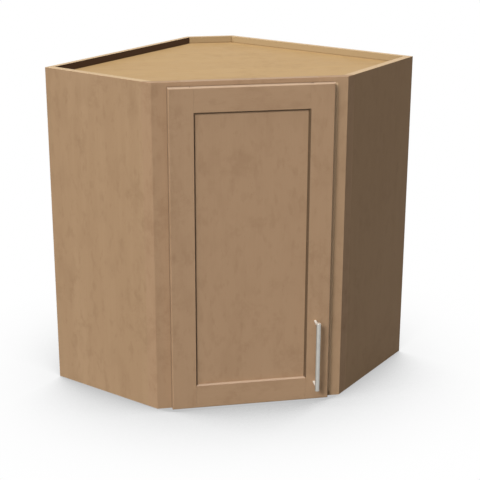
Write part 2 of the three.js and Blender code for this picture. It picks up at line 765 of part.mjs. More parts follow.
// Where the arm's tail pin stands in the tail link when the door is open by a share of its turn.
function tailPinInLink(share) {
  const mainCup = plus(MAIN_ARM_PIVOT, turned(minus(MAIN_CUP_PIVOT, MAIN_ARM_PIVOT), MAIN_TURN * share));
  const tailCup = plus(mainCup, turned(minus(TAIL_CUP_PIVOT, MAIN_CUP_PIVOT), -DOOR_TURN * share));
  return plus(TAIL_CUP_PIVOT, turned(minus(TAIL_ARM_PIVOT, tailCup), -TAIL_TURN * share));
}

function tailSlot(radius, low, high) {
  const path = Array.from({ length: SIDES_MEDIUM + 1 }, (_, i) => tailPinInLink(i / SIDES_MEDIUM));
  return prism(band(path.flatMap((point) => circlePoints(point, radius, SIDES_MEDIUM))), low, high);
}

function tailLink(name) {
  const low = LINK_START;
  const high = LINK_START + LINK_THICK;
  const slotRadius = PIVOT_RADIUS + SLOT_PLAY;
  const body = join(
    strip([TAIL_ARM_PIVOT, ...TAIL_ELBOWS, TAIL_CUP_PIVOT], TAIL_HALF, low, high),
    eye(TAIL_CUP_PIVOT, low, high),
    tailSlot(slotRadius + SLOT_WALL, low, high),
  );
  const slot = tailSlot(slotRadius, low - CUT_PAST, high + CUT_PAST);
  return piece(name, cut(body, pivotHole(TAIL_CUP_PIVOT, low), slot), HINGE_STEEL);
}

function plateFront() {
  return DOOR_GAP + PLATE_SETBACK;
}

function armPin(pivot, end) {
  const outer = LINK_START + LINK_THICK + PIVOT_PLAY;
  const shaft = pivotPin(pivot, 0, end * outer);
  const head = rod(RIVET_HEAD, RIVET_HEAD_THICK, SIDES_SMALL, [...pivot, end * outer], [0, 0, end]);
  return join(shaft, head);
}

function armNose() {
  const near = OVERLAY + FIT + PLATE_THICK * HALF;
  const root = [[near, plateFront()], [near, plateFront() + PLATE_DEPTH]];
  return join(
    prism(band([...root, ...circlePoints(ARM_ROOT, ARM_RADIUS, SIDES_MEDIUM)]), -ARM_HALF, ARM_HALF),
    strip([ARM_ROOT, ARM_MAIN_ELBOW, MAIN_ARM_PIVOT], ARM_RADIUS, -ARM_HALF, ARM_HALF),
    strip([ARM_ROOT, ARM_TAIL_ELBOW, TAIL_ARM_PIVOT], ARM_RADIUS, -ARM_HALF, ARM_HALF),
  );
}

function hingeArm(name) {
  const plate = box(
    [OVERLAY + FIT, OVERLAY + FIT + PLATE_THICK],
    [plateFront(), plateFront() + PLATE_DEPTH],
    [-PLATE_HALF, PLATE_HALF],
  );
  const screwHoles = plateScrewPlaces().map((rise) => rod(
    SCREW_RADIUS + HOLE_PLAY,
    PLATE_THICK + 2 * CUT_PAST,
    SIDES_SMALL,
    [OVERLAY + FIT - CUT_PAST, DOOR_GAP + plateMiddle(), rise],
    [1, 0, 0],
  ));
  return piece(name, join(
    cut(plate, ...screwHoles),
    armNose(),
    armPin(MAIN_ARM_PIVOT, -1),
    armPin(TAIL_ARM_PIVOT, 1),
  ), HINGE_STEEL);
}

function cupScrew(end, name) {
  const profile = screwProfile(SCREW_RADIUS, CUP_SCREW_LENGTH, SMALL_HEAD, SMALL_HEAD_THICK);
  const at = [
    CUP_OFFSET + CUP_SCREW_OFFSET,
    FLANGE_THICK - CUP_SCREW_LENGTH,
    end * CUP_SCREW_SPREAD,
  ];
  return piece(name, revolve(profile, SIDES_SMALL, at, [0, 1, 0]), HINGE_STEEL);
}

function plateScrew(rise, name) {
  const profile = screwProfile(SCREW_RADIUS, PLATE_SCREW_LENGTH, PLATE_SCREW_HEAD, SCREW_HEAD_THICK);
  const at = [OVERLAY + FIT + PLATE_THICK - PLATE_SCREW_LENGTH, DOOR_GAP + plateMiddle(), rise];
  return piece(name, revolve(profile, SIDES_SMALL, at, [1, 0, 0]), HINGE_STEEL);
}

function hingeGroup(height, place) {
  const group = new THREE.Group();
  group.position.set(DOOR_LEFT, -DOOR_GAP, height);
  const ends = ['lower', 'upper'];
  group.add(
    hingeCup(`hinge_cup_${place}`),
    hingeArm(`hinge_arm_${place}`),
    mainLink(`hinge_main_link_${place}`),
    tailLink(`hinge_tail_link_${place}`),
    ...[-1, 1].map((end, i) => cupScrew(end, `hinge_cup_screw_${place}_${ends[i]}`)),
    ...plateScrewPlaces().map((rise, i) => plateScrew(rise, `hinge_arm_screw_${place}_${ends[i]}`)),
  );
  return group;
}

function cabinet() {
  const group = new THREE.Group();
  group.position.y = (FRONT_REACH - CORNER_BACK_Y) * HALF;
  const places = ['lower', 'upper'];
  group.add(
    wallGroup(LEFT),
    wallGroup(RIGHT),
    cornerBackPanel(),
    deckPanel('bottom_panel', DECK_BOTTOM_LOW),
    deckPanel('top_panel', DECK_TOP_LOW),
    shelf(0, 'shelf_lower'),
    shelf(1, 'shelf_upper'),
    ...cornerPins(),
    frameStile(LEFT),
    frameStile(RIGHT),
    frameRail('frame_rail_bottom', 0),
    frameRail('frame_rail_top', CABINET_HEIGHT - RAIL_WIDTH),
    doorGroup(),
    ...hingeHeights().map((height, i) => hingeGroup(height, places[i])),
  );
  return group;
}

export default cabinet();
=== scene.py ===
"""Looks of a diagonal corner wall cabinet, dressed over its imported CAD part.

The case, the face frame, the door's centre panel and the shelf pins keep their CAD solids and get
wood, plywood and nickel finishes. The door's stiles and rails, the bar handle, the bumpers and the
screws are modelled here with softened edges, and the hinge pieces are smoothed copies of their
solids. All of these stand for their CAD nodes.
"""

import logging
import math
from dataclasses import dataclass, replace
from enum import Enum, IntEnum
from typing import Callable, ClassVar, Sequence

import bmesh
import bpy
from mathutils import Matrix, Vector


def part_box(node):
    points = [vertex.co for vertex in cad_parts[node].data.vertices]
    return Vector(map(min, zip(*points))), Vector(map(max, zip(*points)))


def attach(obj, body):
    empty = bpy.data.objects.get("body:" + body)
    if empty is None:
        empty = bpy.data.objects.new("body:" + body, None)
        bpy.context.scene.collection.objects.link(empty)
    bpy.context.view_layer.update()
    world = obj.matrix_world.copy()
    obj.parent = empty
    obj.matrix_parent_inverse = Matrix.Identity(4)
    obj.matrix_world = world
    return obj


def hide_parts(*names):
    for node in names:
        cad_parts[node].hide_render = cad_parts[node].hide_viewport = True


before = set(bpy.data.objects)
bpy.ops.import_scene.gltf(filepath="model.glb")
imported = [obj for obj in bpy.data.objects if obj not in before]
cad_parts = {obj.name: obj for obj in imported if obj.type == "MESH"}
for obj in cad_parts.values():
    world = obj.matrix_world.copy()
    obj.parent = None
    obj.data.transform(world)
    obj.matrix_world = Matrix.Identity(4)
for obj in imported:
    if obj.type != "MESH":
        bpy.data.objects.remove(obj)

MM = 0.001
LOG = logging.getLogger("cabinet")
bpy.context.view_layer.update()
UP = (0.0, 0.0, 1.0)
FRONT = (0.0, -1.0, 0.0)
PLACES = ("lower", "upper")
SAME_PLACE = 0.02 * MM
SCREW_HEAD = 2.2 * MM

Colour = tuple[float, float, float, float]
Material = bpy.types.Material
Node = bpy.types.Node
Piece = bpy.types.Object
Socket = bpy.types.NodeSocket
Tree = bpy.types.NodeTree


class Grain(Enum):
    """The way a board's grain runs."""

    UPRIGHT = "upright"
    ACROSS = "across"


class Sides(IntEnum):
    """How many faces go round a piece, by its size."""

    SMALL = 24
    HEAD = 32
    ROUND = 48
    BAR = 64
    BORE = 96


def srgb(red: int, green: int, blue: int) -> Colour:
    """Turns a display colour into the linear colour that a shader takes.

    Args:
        red: Display red, 0 to 255.
        green: Display green, 0 to 255.
        blue: Display blue, 0 to 255.

    Returns:
        The linear colour with an alpha of 1.
    """

    def linear(value: int) -> float:
        """One channel made linear."""
        share = value / 255
        return share / 12.92 if share <= 0.04045 else ((share + 0.055) / 1.055) ** 2.4

    return (linear(red), linear(green), linear(blue), 1.0)


def corners(node: str) -> tuple[Vector, Vector]:
    """A CAD node's lowest and highest corners."""
    low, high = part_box(node)
    return Vector(low), Vector(high)


# ---------------------------------------- wiring of nodes


class Wiring:
    """Adds and links nodes in the tree of a material, a group or the world."""

    def __init__(self, tree: Tree) -> None:
        """Keeps the tree that nodes go into."""
        self.tree = tree

    def add(self, kind: str, inputs: dict[object, object] | None = None, **settings: object) -> Node:
        """Adds a node.

        Args:
            kind: The node's type without its ShaderNode prefix.
            inputs: Sockets or plain values, by the input's name or number.
            settings: Properties to set on the node before its inputs are fed.

        Returns:
            The new node.
        """
        node = self.tree.nodes.new(f"ShaderNode{kind}")
        for name, value in settings.items():
            setattr(node, name, value)
        for key, source in (inputs or {}).items():
            self.feed(node, key, source)
        return node

    def feed(self, node: Node, key: object, source: object) -> None:
        """Links a socket to a node's input, or sets the input to a plain value.

        Args:
            node: The node.
            key: The input's name or number.
            source: The socket or the value.
        """
        if isinstance(source, Socket):
            self.tree.links.new(source, node.inputs[key])
        else:
            node.inputs[key].default_value = source

    def math(self, operation: str, *values: object) -> Socket:
        """The result of a math operation on sockets or numbers."""
        return self.add("Math", dict(enumerate(values)), operation=operation).outputs[0]

    def product(self, first: object, *others: object) -> Socket:
        """Multiplies values or masks.

        Args:
            first: The first socket or number.
            others: The sockets or numbers that it is multiplied by, in order.

        Returns:
            The product's socket.
        """
        for other in others:
            first = self.math("MULTIPLY", first, other)
        return first

    def ramp(self, source: object, low: object, high: object) -> Socket:
        """How far a value lies between two limits, from 0 at low to 1 at high, with eased ends."""
        inputs = {"Value": source, "From Min": low, "From Max": high}
        return self.add("MapRange", inputs, interpolation_type="SMOOTHSTEP").outputs["Result"]

    def mix(self, share: object, first: object, second: object) -> Socket:
        """Blends two colours.

        Args:
            share: 0 for the first colour and 1 for the second.
            first: The colour at 0.
            second: The colour at 1.

        Returns:
            The blended colour's socket.
        """
        share_input, first_colour, second_colour, colour_output = 0, 6, 7, 2
        inputs = {share_input: share, first_colour: first, second_colour: second}
        return self.add("Mix", inputs, data_type="RGBA").outputs[colour_output]

    def noise(self, vector: object, scale: float, detail: float, rough: float = 0.5) -> Socket:
        """A noise value, by its place, its fineness, its number of finer layers and their strength."""
        inputs = {"Vector": vector, "Scale": scale, "Detail": detail, "Roughness": rough}
        return self.add("TexNoise", inputs).outputs["Fac"]

    def split(self, vector: Socket) -> tuple[Socket, ...]:
        """A vector's three coordinates."""
        return tuple(self.add("SeparateXYZ", {0: vector}).outputs)

    def turned(self, vector: Socket, about: str, degrees: float) -> Socket:
        """A vector turned about the Y or the Z axis."""
        turn = tuple(math.radians(degrees) if axis == about else 0.0 for axis in "XYZ")
        return self.add("Mapping", {"Vector": vector, "Rotation": turn}).outputs["Vector"]

    def stretched(self, vector: Socket, across: float, along: float) -> Socket:
        """A vector scaled by one factor in X and Y and by another in Z."""
        scale = (across, across, along)
        return self.add("Mapping", {"Vector": vector, "Scale": scale}).outputs["Vector"]

    def cosine(self, first: object, second: object) -> Socket:
        """The cosine of the angle between two directions."""
        return self.add("VectorMath", {0: first, 1: second}, operation="DOT_PRODUCT").outputs["Value"]

    def towards(self, way: Sequence[float], low: float, high: float, both: bool = False) -> Socket:
        """A mask of the faces that look one way.

        Args:
            way: The direction.
            low: The cosine of a face's normal to it that gives 0.
            high: The cosine that gives 1.
            both: Whether faces that look the opposite way are in the mask too.

        Returns:
            The mask's socket.
        """
        turned = self.cosine(self.add("NewGeometry").outputs["Normal"], way)
        if both:
            turned = self.math("ABSOLUTE", turned)
        return self.ramp(turned, low, high)


class NodeGroup(Wiring):
    """A shader node group under construction."""

    def __init__(self, name: str, takes: dict[str, object], *gives: str) -> None:
        """Starts a group with its sockets.

        Args:
            name: The group's name.
            takes: The inputs' defaults by name: a number, a colour, or None for a vector.
            gives: The outputs' names. Colour is a colour, and the others are values.
        """
        super().__init__(bpy.data.node_groups.new(name, "ShaderNodeTree"))
        self.entry = self.tree.nodes.new("NodeGroupInput")
        self.exit = self.tree.nodes.new("NodeGroupOutput")
        for label, default in takes.items():
            if default is None:
                self._socket(label, "INPUT", "Vector")
                continue
            kind = "Float" if isinstance(default, float) else "Color"
            self._socket(label, "INPUT", kind).default_value = default
        for label in gives:
            self._socket(label, "OUTPUT", "Color" if label == "Colour" else "Float")

    def _socket(self, name: str, side: str, kind: str) -> bpy.types.NodeTreeInterfaceSocket:
        """Adds a socket to the group's interface."""
        return self.tree.interface.new_socket(name=name, in_out=side, socket_type=f"NodeSocket{kind}")

    def value(self, name: str) -> Socket:
        """The group's own input of that name, as seen from inside."""
        return self.entry.outputs[name]

    def out(self, name: str, source: Socket) -> None:
        """Links a result to the group's output of that name."""
        self.tree.links.new(source, self.exit.inputs[name])


# ---------------------------------------- shader groups


def wood_grain_group() -> Tree:
    """Builds the group for stained or clear hardwood: grain, flecks and cloudy stain.

    Returns:
        The group's tree, with a colour, a roughness and a height.
    """
    takes = {
        "Board": None,
        "Colour": srgb(159, 130, 100),
        "Dark": srgb(140, 112, 84),
        "Light": srgb(170, 141, 110),
        "Figure": 0.5,
        "Blotch": 0.4,
        "Gloss": 0.5,
    }
    group = NodeGroup("wood_grain", takes, "Colour", "Roughness", "Height")
    board = group.value("Board")
    blotch = group.value("Blotch")

    def streaks(along: float, across: float, detail: float, rough: float = 0.5) -> Socket:
        """Noise drawn out along the grain, which runs in Z."""
        return group.noise(group.stretched(board, across, along), 1.0, detail, rough)

    fibres = streaks(along=9.0, across=520.0, detail=3.0, rough=0.6)
    figure = group.ramp(streaks(along=1.6, across=26.0, detail=3.0, rough=0.55), 0.35, 0.68)
    clouds = group.noise(board, scale=34.0, detail=4.0, rough=0.66)
    patches = group.ramp(group.noise(board, scale=7.5, detail=2.0), 0.5, 0.6)
    drawn_out = group.stretched(board, across=230.0, along=70.0)
    pores = group.add("TexVoronoi", {"Vector": drawn_out, "Scale": 1.0}, feature="F1")
    sparse = group.ramp(streaks(along=22.0, across=60.0, detail=1.0), 0.48, 0.64)
    fleck = group.product(group.ramp(pores.outputs["Distance"], 0.26, 0.05), sparse)
    smudge = group.ramp(streaks(along=28.0, across=62.0, detail=2.0), 0.52, 0.76)
    mottle = group.ramp(streaks(along=13.0, across=30.0, detail=2.0), 0.48, 0.72)

    shine = group.product(figure, group.value("Figure"))
    colour = group.mix(shine, group.value("Colour"), group.value("Light"))
    for mask, share in (
        (group.product(group.ramp(clouds, 0.42, 0.66), patches), blotch),
        (smudge, blotch),
        (mottle, group.product(blotch, 0.55)),
        (group.ramp(fibres, 0.4, 0.75), 0.07),
        (fleck, 0.3),
    ):
        colour = group.mix(group.product(mask, share), colour, group.value("Dark"))
    group.out("Colour", colour)
    rough = group.math("MULTIPLY_ADD", fibres, 0.14, group.value("Gloss"))
    group.out("Roughness", group.math("MULTIPLY_ADD", clouds, 0.06, rough))
    group.out("Height", group.math("MULTIPLY_ADD", fleck, -0.5, group.product(fibres, 0.6)))
    return group.tree


def edge_wear_group() -> Tree:
    """Builds the group that finds worn outer edges from the bevelled normal.

    Returns:
        The group's tree, with a mask that is 1 on worn edges.
    """
    group = NodeGroup("edge_wear", {"Board": None, "Reach": 1.2 * MM, "Amount": 0.5}, "Mask")
    bevel = group.add("Bevel", {"Radius": group.value("Reach")}, samples=4)
    level = group.cosine(bevel.outputs["Normal"], group.add("NewGeometry").outputs["Normal"])
    turned = group.ramp(group.math("ABSOLUTE", level), 0.995, 0.86)
    patchy = group.noise(group.value("Board"), scale=70.0, detail=3.0, rough=0.6)
    broken = group.ramp(patchy, 0.36, 0.62)
    group.out("Mask", group.product(turned, broken, group.value("Amount")))
    return group.tree


def dust_group() -> Tree:
    """Builds the group for thin dust that lies on upward faces.

    Returns:
        The group's tree, with a mask that is 1 where dust lies.
    """
    group = NodeGroup("dust", {"Board": None, "Amount": 0.2}, "Mask")
    patchy = group.noise(group.value("Board"), scale=24.0, detail=4.0, rough=0.6)
    drift = group.ramp(patchy, 0.34, 0.7)
    group.out("Mask", group.product(group.towards(UP, 0.7, 0.98), drift, group.value("Amount")))
    return group.tree


def plies_group() -> Tree:
    """Builds the group for a plywood edge: thin layers, light and dark in turn.

    Returns:
        The group's tree, with a mask that is 1 on the end-grain layers.
    """
    group = NodeGroup("plies", {"Depth": 0.0, "Layer": 1.6 * MM}, "Mask")
    phase = group.math("DIVIDE", group.value("Depth"), group.value("Layer"))
    wave = group.math("SINE", group.product(phase, math.pi))
    group.out("Mask", group.ramp(wave, -0.25, 0.25))
    return group.tree


def brushed_group() -> Tree:
    """Builds the group for brushed metal: fine lines round a bar or a pin.

    Returns:
        The group's tree, with a roughness and a height.
    """
    group = NodeGroup("brushed", {"Board": None, "Gloss": 0.3}, "Roughness", "Height")
    board = group.value("Board")
    drawn_out = group.stretched(board, across=2600.0, along=90.0)
    lines = group.noise(drawn_out, scale=1.0, detail=2.0, rough=0.6)
    smear = group.noise(board, scale=60.0, detail=3.0, rough=0.6)
    rough = group.math("MULTIPLY_ADD", lines, 0.12, group.value("Gloss"))
    group.out("Roughness", group.math("MULTIPLY_ADD", smear, 0.1, rough))
    group.out("Height", lines)
    return group.tree


class Groups:
    """The shared shader groups, each built once."""

    wood: ClassVar[Tree]
    wear: ClassVar[Tree]
    dust: ClassVar[Tree]
    plies: ClassVar[Tree]
    brushed: ClassVar[Tree]

    @classmethod
    def build(cls) -> None:
        """Builds every group."""
        cls.wood = wood_grain_group()
        cls.wear = edge_wear_group()
        cls.dust = dust_group()
        cls.plies = plies_group()
        cls.brushed = brushed_group()


class Shader(Wiring):
    """A material under construction round one Principled BSDF."""

    def __init__(self, name: str) -> None:
        """Makes the material with its surface shader and output.

        Args:
            name: The material's name.
        """
        self.material = bpy.data.materials.new(name)
        self.material.use_nodes = True
        super().__init__(self.material.node_tree)
        self.tree.nodes.clear()
        self.surface = self.add("BsdfPrincipled")
        self.add("OutputMaterial", {"Surface": self.surface.outputs[0]})
        self.place = self.add("TexCoord").outputs["Object"]

    def group(self, tree: Tree, **values: object) -> Node:
        """Places a shared group and feeds its inputs by name."""
        return self.add("Group", values, node_tree=tree)

    def finish(self, inputs: dict[str, object], height: Socket, strength: float, depth: float) -> Material:
        """Feeds the surface shader and its bump.

        Args:
            inputs: Sockets or plain values by the surface shader's input names.
            height: The bump's height.
            strength: How much of the bump shows.
            depth: How deep it is, in metres.

        Returns:
            The finished material.
        """
        bump = self.add("Bump", {"Strength": strength, "Distance": depth, "Height": height})
        for name, source in {**inputs, "Normal": bump.outputs["Normal"]}.items():
            self.feed(self.surface, name, source)
        return self.material


# ---------------------------------------- what lies over wood

Coats = list[tuple[Socket, object]]


class Cover:
    """Something that lies over a wood finish in places."""

    label: ClassVar[str] = "plain"

    def coats(self, shader: Shader) -> Coats:
        """The masks and colours that it lays on, in order."""
        raise NotImplementedError


@dataclass(frozen=True)
class RecessShade(Cover):
    """Painted shade in the corner round the door's recessed panel, and a painted highlight on its lower
    ledge.
    """

    label: ClassVar[str] = "glazed"

    half_width: float
    low: float
    high: float
    inward: float = 1.1 * MM
    outward_left: float = 2.2 * MM
    outward_right: float = 3.6 * MM
    outward_top: float = 2.8 * MM
    soft: float = 0.25 * MM
    step: float = 0.5 * MM
    ledge: float = 3.0 * MM
    # painted shade colour of the recess's corner line
    colour: Colour = srgb(100, 80, 60)
    # painted highlight colour of the upward lower ledge
    ledge_highlight: Colour = srgb(179, 153, 130)

    def coats(self, shader: Shader) -> Coats:
        """Paints shade into the recess's upper corner and both sides, and a highlight on its lower ledge.

        Args:
            shader: The material under construction.

        Returns:
            The painted shade line and the painted ledge highlight.
        """
        x, _, z = shader.split(shader.place)
        outer = self._window(shader, x, z, self.outward_left, self.outward_right, self.outward_top)
        inner = self._window(shader, x, z, -self.inward, -self.inward, -self.inward)
        # the line of painted shade round the recess
        line = shader.product(
            outer,
            shader.math("SUBTRACT", 1.0, inner),
            shader.ramp(z, self.low - self.step, self.low + self.step),
            shader.ramp(shader.noise(shader.place, scale=55.0, detail=3.0), -0.1, 0.4),
        )
        # the painted highlight on the upward lower ledge
        foot = self.low - self.ledge
        ledge = shader.product(
            shader.ramp(z, self.low + self.soft, self.low),
            shader.ramp(z, foot, foot + self.soft),
            shader.towards(UP, 0.5, 0.8),
        )
        return [(line, self.colour), (ledge, self.ledge_highlight)]

    def _window(
        self, shader: Shader, x: Socket, z: Socket, left: float, right: float, top: float
    ) -> Socket:
        """A mask that is 1 in front of the recess, let out by so much on three sides."""
        edges = (
            (shader.product(x, -1.0), self.half_width + left),
            (x, self.half_width + right),
            (z, self.high + top),
        )
        return shader.product(*(shader.ramp(reach, edge + self.soft, edge) for reach, edge in edges))


@dataclass(frozen=True)
class DoorEdge(Cover):
    """The door's outer edge: a painted highlight on its upward faces in front, and painted shade at the
    back where it meets the frame.
    """

    label: ClassVar[str] = "edged"

    half_width: float
    low: float
    high: float
    back: float
    reach: float = 3.2 * MM
    shade: float = 7.5 * MM
    soft: float = 2.0 * MM
    top_highlight_share: float = 0.6
    # painted shade colour of the edge's rear
    dark: Colour = srgb(108, 84, 63)
    # painted highlight colour of the upward edge
    top_highlight: Colour = srgb(184, 160, 138)

    def coats(self, shader: Shader) -> Coats:
        """Paints a highlight on the upper edge in front and paints shade on all four edges behind.

        Args:
            shader: The material under construction.

        Returns:
            The painted highlight on the upper edge and the painted shade on the rear edge.
        """
        x, y, z = shader.split(shader.place)
        middle, half_height = (self.high + self.low) / 2, (self.high - self.low) / 2
        beside = shader.math("SUBTRACT", shader.math("ABSOLUTE", x), self.half_width)
        level = shader.math("ABSOLUTE", shader.math("SUBTRACT", z, middle))
        outside = shader.math("MAXIMUM", beside, shader.math("SUBTRACT", level, half_height))
        rim = shader.ramp(outside, -self.reach, -self.reach / 2)
        # painted highlight where the edge faces up
        top = shader.product(rim, shader.towards(UP, 0.15, 0.7), self.top_highlight_share)
        # painted shade on the rear of the edge, next to the frame
        behind = self.back - self.shade
        rear = shader.product(rim, shader.ramp(y, behind, behind + self.soft))
        return [(top, self.top_highlight), (rear, self.dark)]


@dataclass(frozen=True)
class DoorShadowFill(Cover):
    """A stile's front a little lighter all over, with painted light beside the door's edge where the door
    casts its shadow.
    """

    label: ClassVar[str] = "thinned"

    edge: float
    top: float
    reach: float = 14.0 * MM
    fullest_fill: float = 7.5 * MM
    strip: float = 12.5 * MM
    share: float = 0.07
    # painted light colour that lifts the door's shadow on the stile
    colour: Colour = srgb(228, 194, 155)

    def coats(self, shader: Shader) -> Coats:
        """Lightens the front face, and paints light into the door's shadow while the door's edge stands
        close.

        Args:
            shader: The material under construction.

        Returns:
            The lighter front and the painted light.
        """
        x, _, z = shader.split(shader.place)
        # ambient occlusion finds where the door shades the stile; the painted light goes there
        nearby = shader.add("AmbientOcclusion", {"Distance": self.reach}, samples=16)
        strip = shader.product(
            shader.ramp(nearby.outputs["AO"], 0.98, 0.9),
            shader.ramp(x, self.edge + self.strip, self.edge + self.fullest_fill),
            shader.ramp(z, self.top, self.top - self.reach / 2),
            shader.ramp(z, self.reach / 2, self.reach),
        )
        share = shader.math("MAXIMUM", strip, self.share)
        return [(shader.product(share, shader.towards(FRONT, 0.8, 0.95)), self.colour)]


@dataclass(frozen=True)
class InnerRim(Cover):
    """Painted shade on the rim's inner face above the top panel, and more painted shade in the crease
    along its joint.
    """

    label: ClassVar[str] = "inner_rim"

    above: float
    turn: float
    # painted shade colour of the inner face
    colour: Colour
    seam: float = 2.4 * MM
    crease_shade_share: float = 0.4
    # painted shade colour of the crease
    crease_shade_colour: Colour = srgb(92, 66, 38)

    def coats(self, shader: Shader) -> Coats:
        """Paints shade on the face that looks into the cabinet, above the top panel.

        Args:
            shader: The material under construction.

        Returns:
            The face's painted shade and the painted shade in the crease along the joint.
        """
        way = math.radians(self.turn)
        inner = shader.towards((math.cos(way), math.sin(way), 0.0), 0.6, 0.9)
        _, _, z = shader.split(shader.place)
        over = shader.ramp(z, self.above - MM, self.above + MM)
        joint = shader.ramp(z, self.above + self.seam, self.above + self.seam / 2)
        crease_shade = shader.product(joint, inner, self.crease_shade_share)
        return [(shader.product(over, inner), self.colour), (crease_shade, self.crease_shade_colour)]


@dataclass(frozen=True)
class Plies(Cover):
    """The bare layers that show on a plywood panel's upper and lower edges."""

    turn: float
    layer: float = 1.6 * MM
    light: Colour = srgb(196, 170, 135)
    dark: Colour = srgb(172, 143, 109)

    @property
    def label(self) -> str:
        """The part of a material's name that tells the panel's direction."""
        return f"plies_{self.turn:+.0f}".replace("+", "p").replace("-", "m")

    def coats(self, shader: Shader) -> Coats:
        """Puts the layers where the panel's edge faces up or down.

        Args:
            shader: The material under construction.

        Returns:
            The layers.
        """
        _, depth, _ = shader.split(shader.turned(shader.place, "Z", self.turn))
        layers = shader.group(Groups.plies, Depth=depth, Layer=self.layer)
        fuzz = shader.ramp(shader.noise(shader.place, scale=300.0, detail=2.0), 0.2, 0.8)
        edge = shader.mix(shader.product(layers.outputs["Mask"], fuzz), self.light, self.dark)
        return [(shader.towards(UP, 0.6, 0.8, both=True), edge)]


# ---------------------------------------- finishes


@dataclass(frozen=True)
class Wood:
    """A wood finish, clear or stained."""

    name: str
    colour: Colour
    dark: Colour
    light: Colour
    figure: float = 0.4
    blotch: float = 0.35
    gloss: float = 0.42
    wear: float = 0.5
    dust: float = 0.0
    coat: float = 0.03
    coat_rough: float = 0.35
    sheen: float = 0.14
    relief: float = 0.22
    relief_depth: float = 0.12 * MM
    lint: Colour = srgb(206, 198, 184)

    def material(self, grain: Grain, *covers: Cover) -> Material:
        """Makes the finish for boards of one grain direction.

        Args:
            grain: The way the grain runs.
            covers: What lies over the wood in places, such as painted shade or bare plies.

        Returns:
            The material.
        """
        shader = Shader("_".join([self.name, grain.value, *(cover.label for cover in covers)]))
        board = shader.place
        if grain is Grain.ACROSS:
            board = shader.turned(board, "Y", 90.0)
        wood = shader.group(
            Groups.wood,
            Board=board,
            Colour=self.colour,
            Dark=self.dark,
            Light=self.light,
            Figure=self.figure,
            Blotch=self.blotch,
            Gloss=self.gloss,
        )
        worn = shader.group(Groups.wear, Board=board, Amount=self.wear)
        colour = shader.mix(worn.outputs["Mask"], wood.outputs["Colour"], self.light)
        coats = [coat for cover in covers for coat in cover.coats(shader)]
        if self.dust:
            lint = shader.group(Groups.dust, Board=shader.place, Amount=self.dust)
            coats.append((lint.outputs["Mask"], self.lint))
        for mask, tone in coats:
            colour = shader.mix(mask, colour, tone)
        surface = {
            "Base Color": colour,
            "Roughness": wood.outputs["Roughness"],
            "Coat Weight": self.coat,
            "Coat Roughness": self.coat_rough,
            "Specular IOR Level": self.sheen,
        }
        return shader.finish(surface, wood.outputs["Height"], self.relief, self.relief_depth)


@dataclass(frozen=True)
class Metal:
    """A plated metal finish."""

    name: str
    colour: Colour
    gloss: float
    wear: float = 0.35
    wear_reach: float = 0.4 * MM
    metallic: float = 1.0
    top_highlight_strength: float = 0.0
    cloudy: float = 0.25
    cloud: Colour = srgb(150, 149, 143)
    # colour of worn edges, and of the painted highlight on upward faces
    bright: Colour = srgb(244, 238, 228)

    def material(self) -> Material:
        """Makes the finish.

        Returns:
            The material.
        """
        shader = Shader(self.name)
        brushed = shader.group(Groups.brushed, Board=shader.place, Gloss=self.gloss)
        worn = shader.group(Groups.wear, Board=shader.place, Amount=self.wear, Reach=self.wear_reach)
        cloud = shader.ramp(shader.noise(shader.place, scale=90.0, detail=3.0), 0.3, 0.75)
        tone = shader.mix(shader.product(cloud, self.cloudy), self.colour, self.cloud)
        colour = shader.mix(worn.outputs["Mask"], tone, self.bright)
        # painted highlight on the faces that look up
        if self.top_highlight_strength:
            top_highlight = shader.product(shader.towards(UP, 0.3, 0.9), self.top_highlight_strength)
            colour = shader.mix(top_highlight, colour, self.bright)
        surface = {
            "Base Color": colour,
            "Roughness": brushed.outputs["Roughness"],
            "Metallic": self.metallic,
        }
        return shader.finish(surface, brushed.outputs["Height"], strength=0.2, depth=0.02 * MM)


@dataclass(frozen=True)
class Rubber:
    """A soft clear rubber finish."""

    name: str
    colour: Colour
    dull: Colour = srgb(190, 184, 170)
    lint: Colour = srgb(150, 140, 126)
    dust: float = 0.2
    speckled: float = 0.3
    glow: float = 0.15

    def material(self) -> Material:
        """Makes the finish.

        Returns:
            The material.
        """
        shader = Shader(self.name)
        speck = shader.noise(shader.place, scale=900.0, detail=2.0)
        shade = shader.mix(shader.product(speck, self.speckled), self.colour, self.dull)
        lint = shader.group(Groups.dust, Board=shader.place, Amount=self.dust)
        surface = {
            "Base Color": shader.mix(lint.outputs["Mask"], shade, self.lint),
            "Roughness": shader.math("MULTIPLY_ADD", speck, 0.2, 0.4),
            "Subsurface Weight": self.glow,
        }
        return shader.finish(surface, speck, strength=0.15, depth=0.05 * MM)


STAINED = Wood(
    "stained_hardwood",
    colour=srgb(162, 132, 103),
    dark=srgb(141, 111, 84),
    light=srgb(173, 143, 113),
    figure=0.12,
    blotch=0.32,
)
MATT_STAINED = replace(STAINED, name="matt_stained_hardwood", coat=0.0, sheen=0.06)
VENEER = Wood(
    "stained_veneer",
    colour=srgb(160, 131, 101),
    dark=srgb(138, 110, 83),
    light=srgb(170, 141, 110),
    figure=0.5,
    blotch=0.34,
    coat=0.0,
    sheen=0.05,
)
PLAIN_VENEER = replace(VENEER, name="plain_stained_veneer", figure=0.2, blotch=0.2)
CLEAR = Wood(
    "clear_maple",
    colour=srgb(171, 140, 97),
    dark=srgb(151, 120, 79),
    light=srgb(180, 149, 103),
    figure=0.3,
    blotch=0.25,
    dust=0.02,
    coat=0.0,
    sheen=0.06,
)
# the nickel carries a painted highlight on its upward faces; the posts' lighter copy below is a painted
# highlight
NICKEL = Metal("satin_nickel", srgb(185, 183, 176), gloss=0.3, wear=0.9, metallic=0.7, top_highlight_strength=0.9)
HIGHLIT_NICKEL = replace(NICKEL, name="nickel_painted_bright", colour=srgb(228, 224, 216), metallic=0.35)
STEEL = Metal("bright_hinge_steel", srgb(202, 203, 204), gloss=0.26, metallic=0.6)
RUBBER = Rubber("clear_rubber", srgb(222, 217, 204))
Finish = Wood | Metal | Rubber


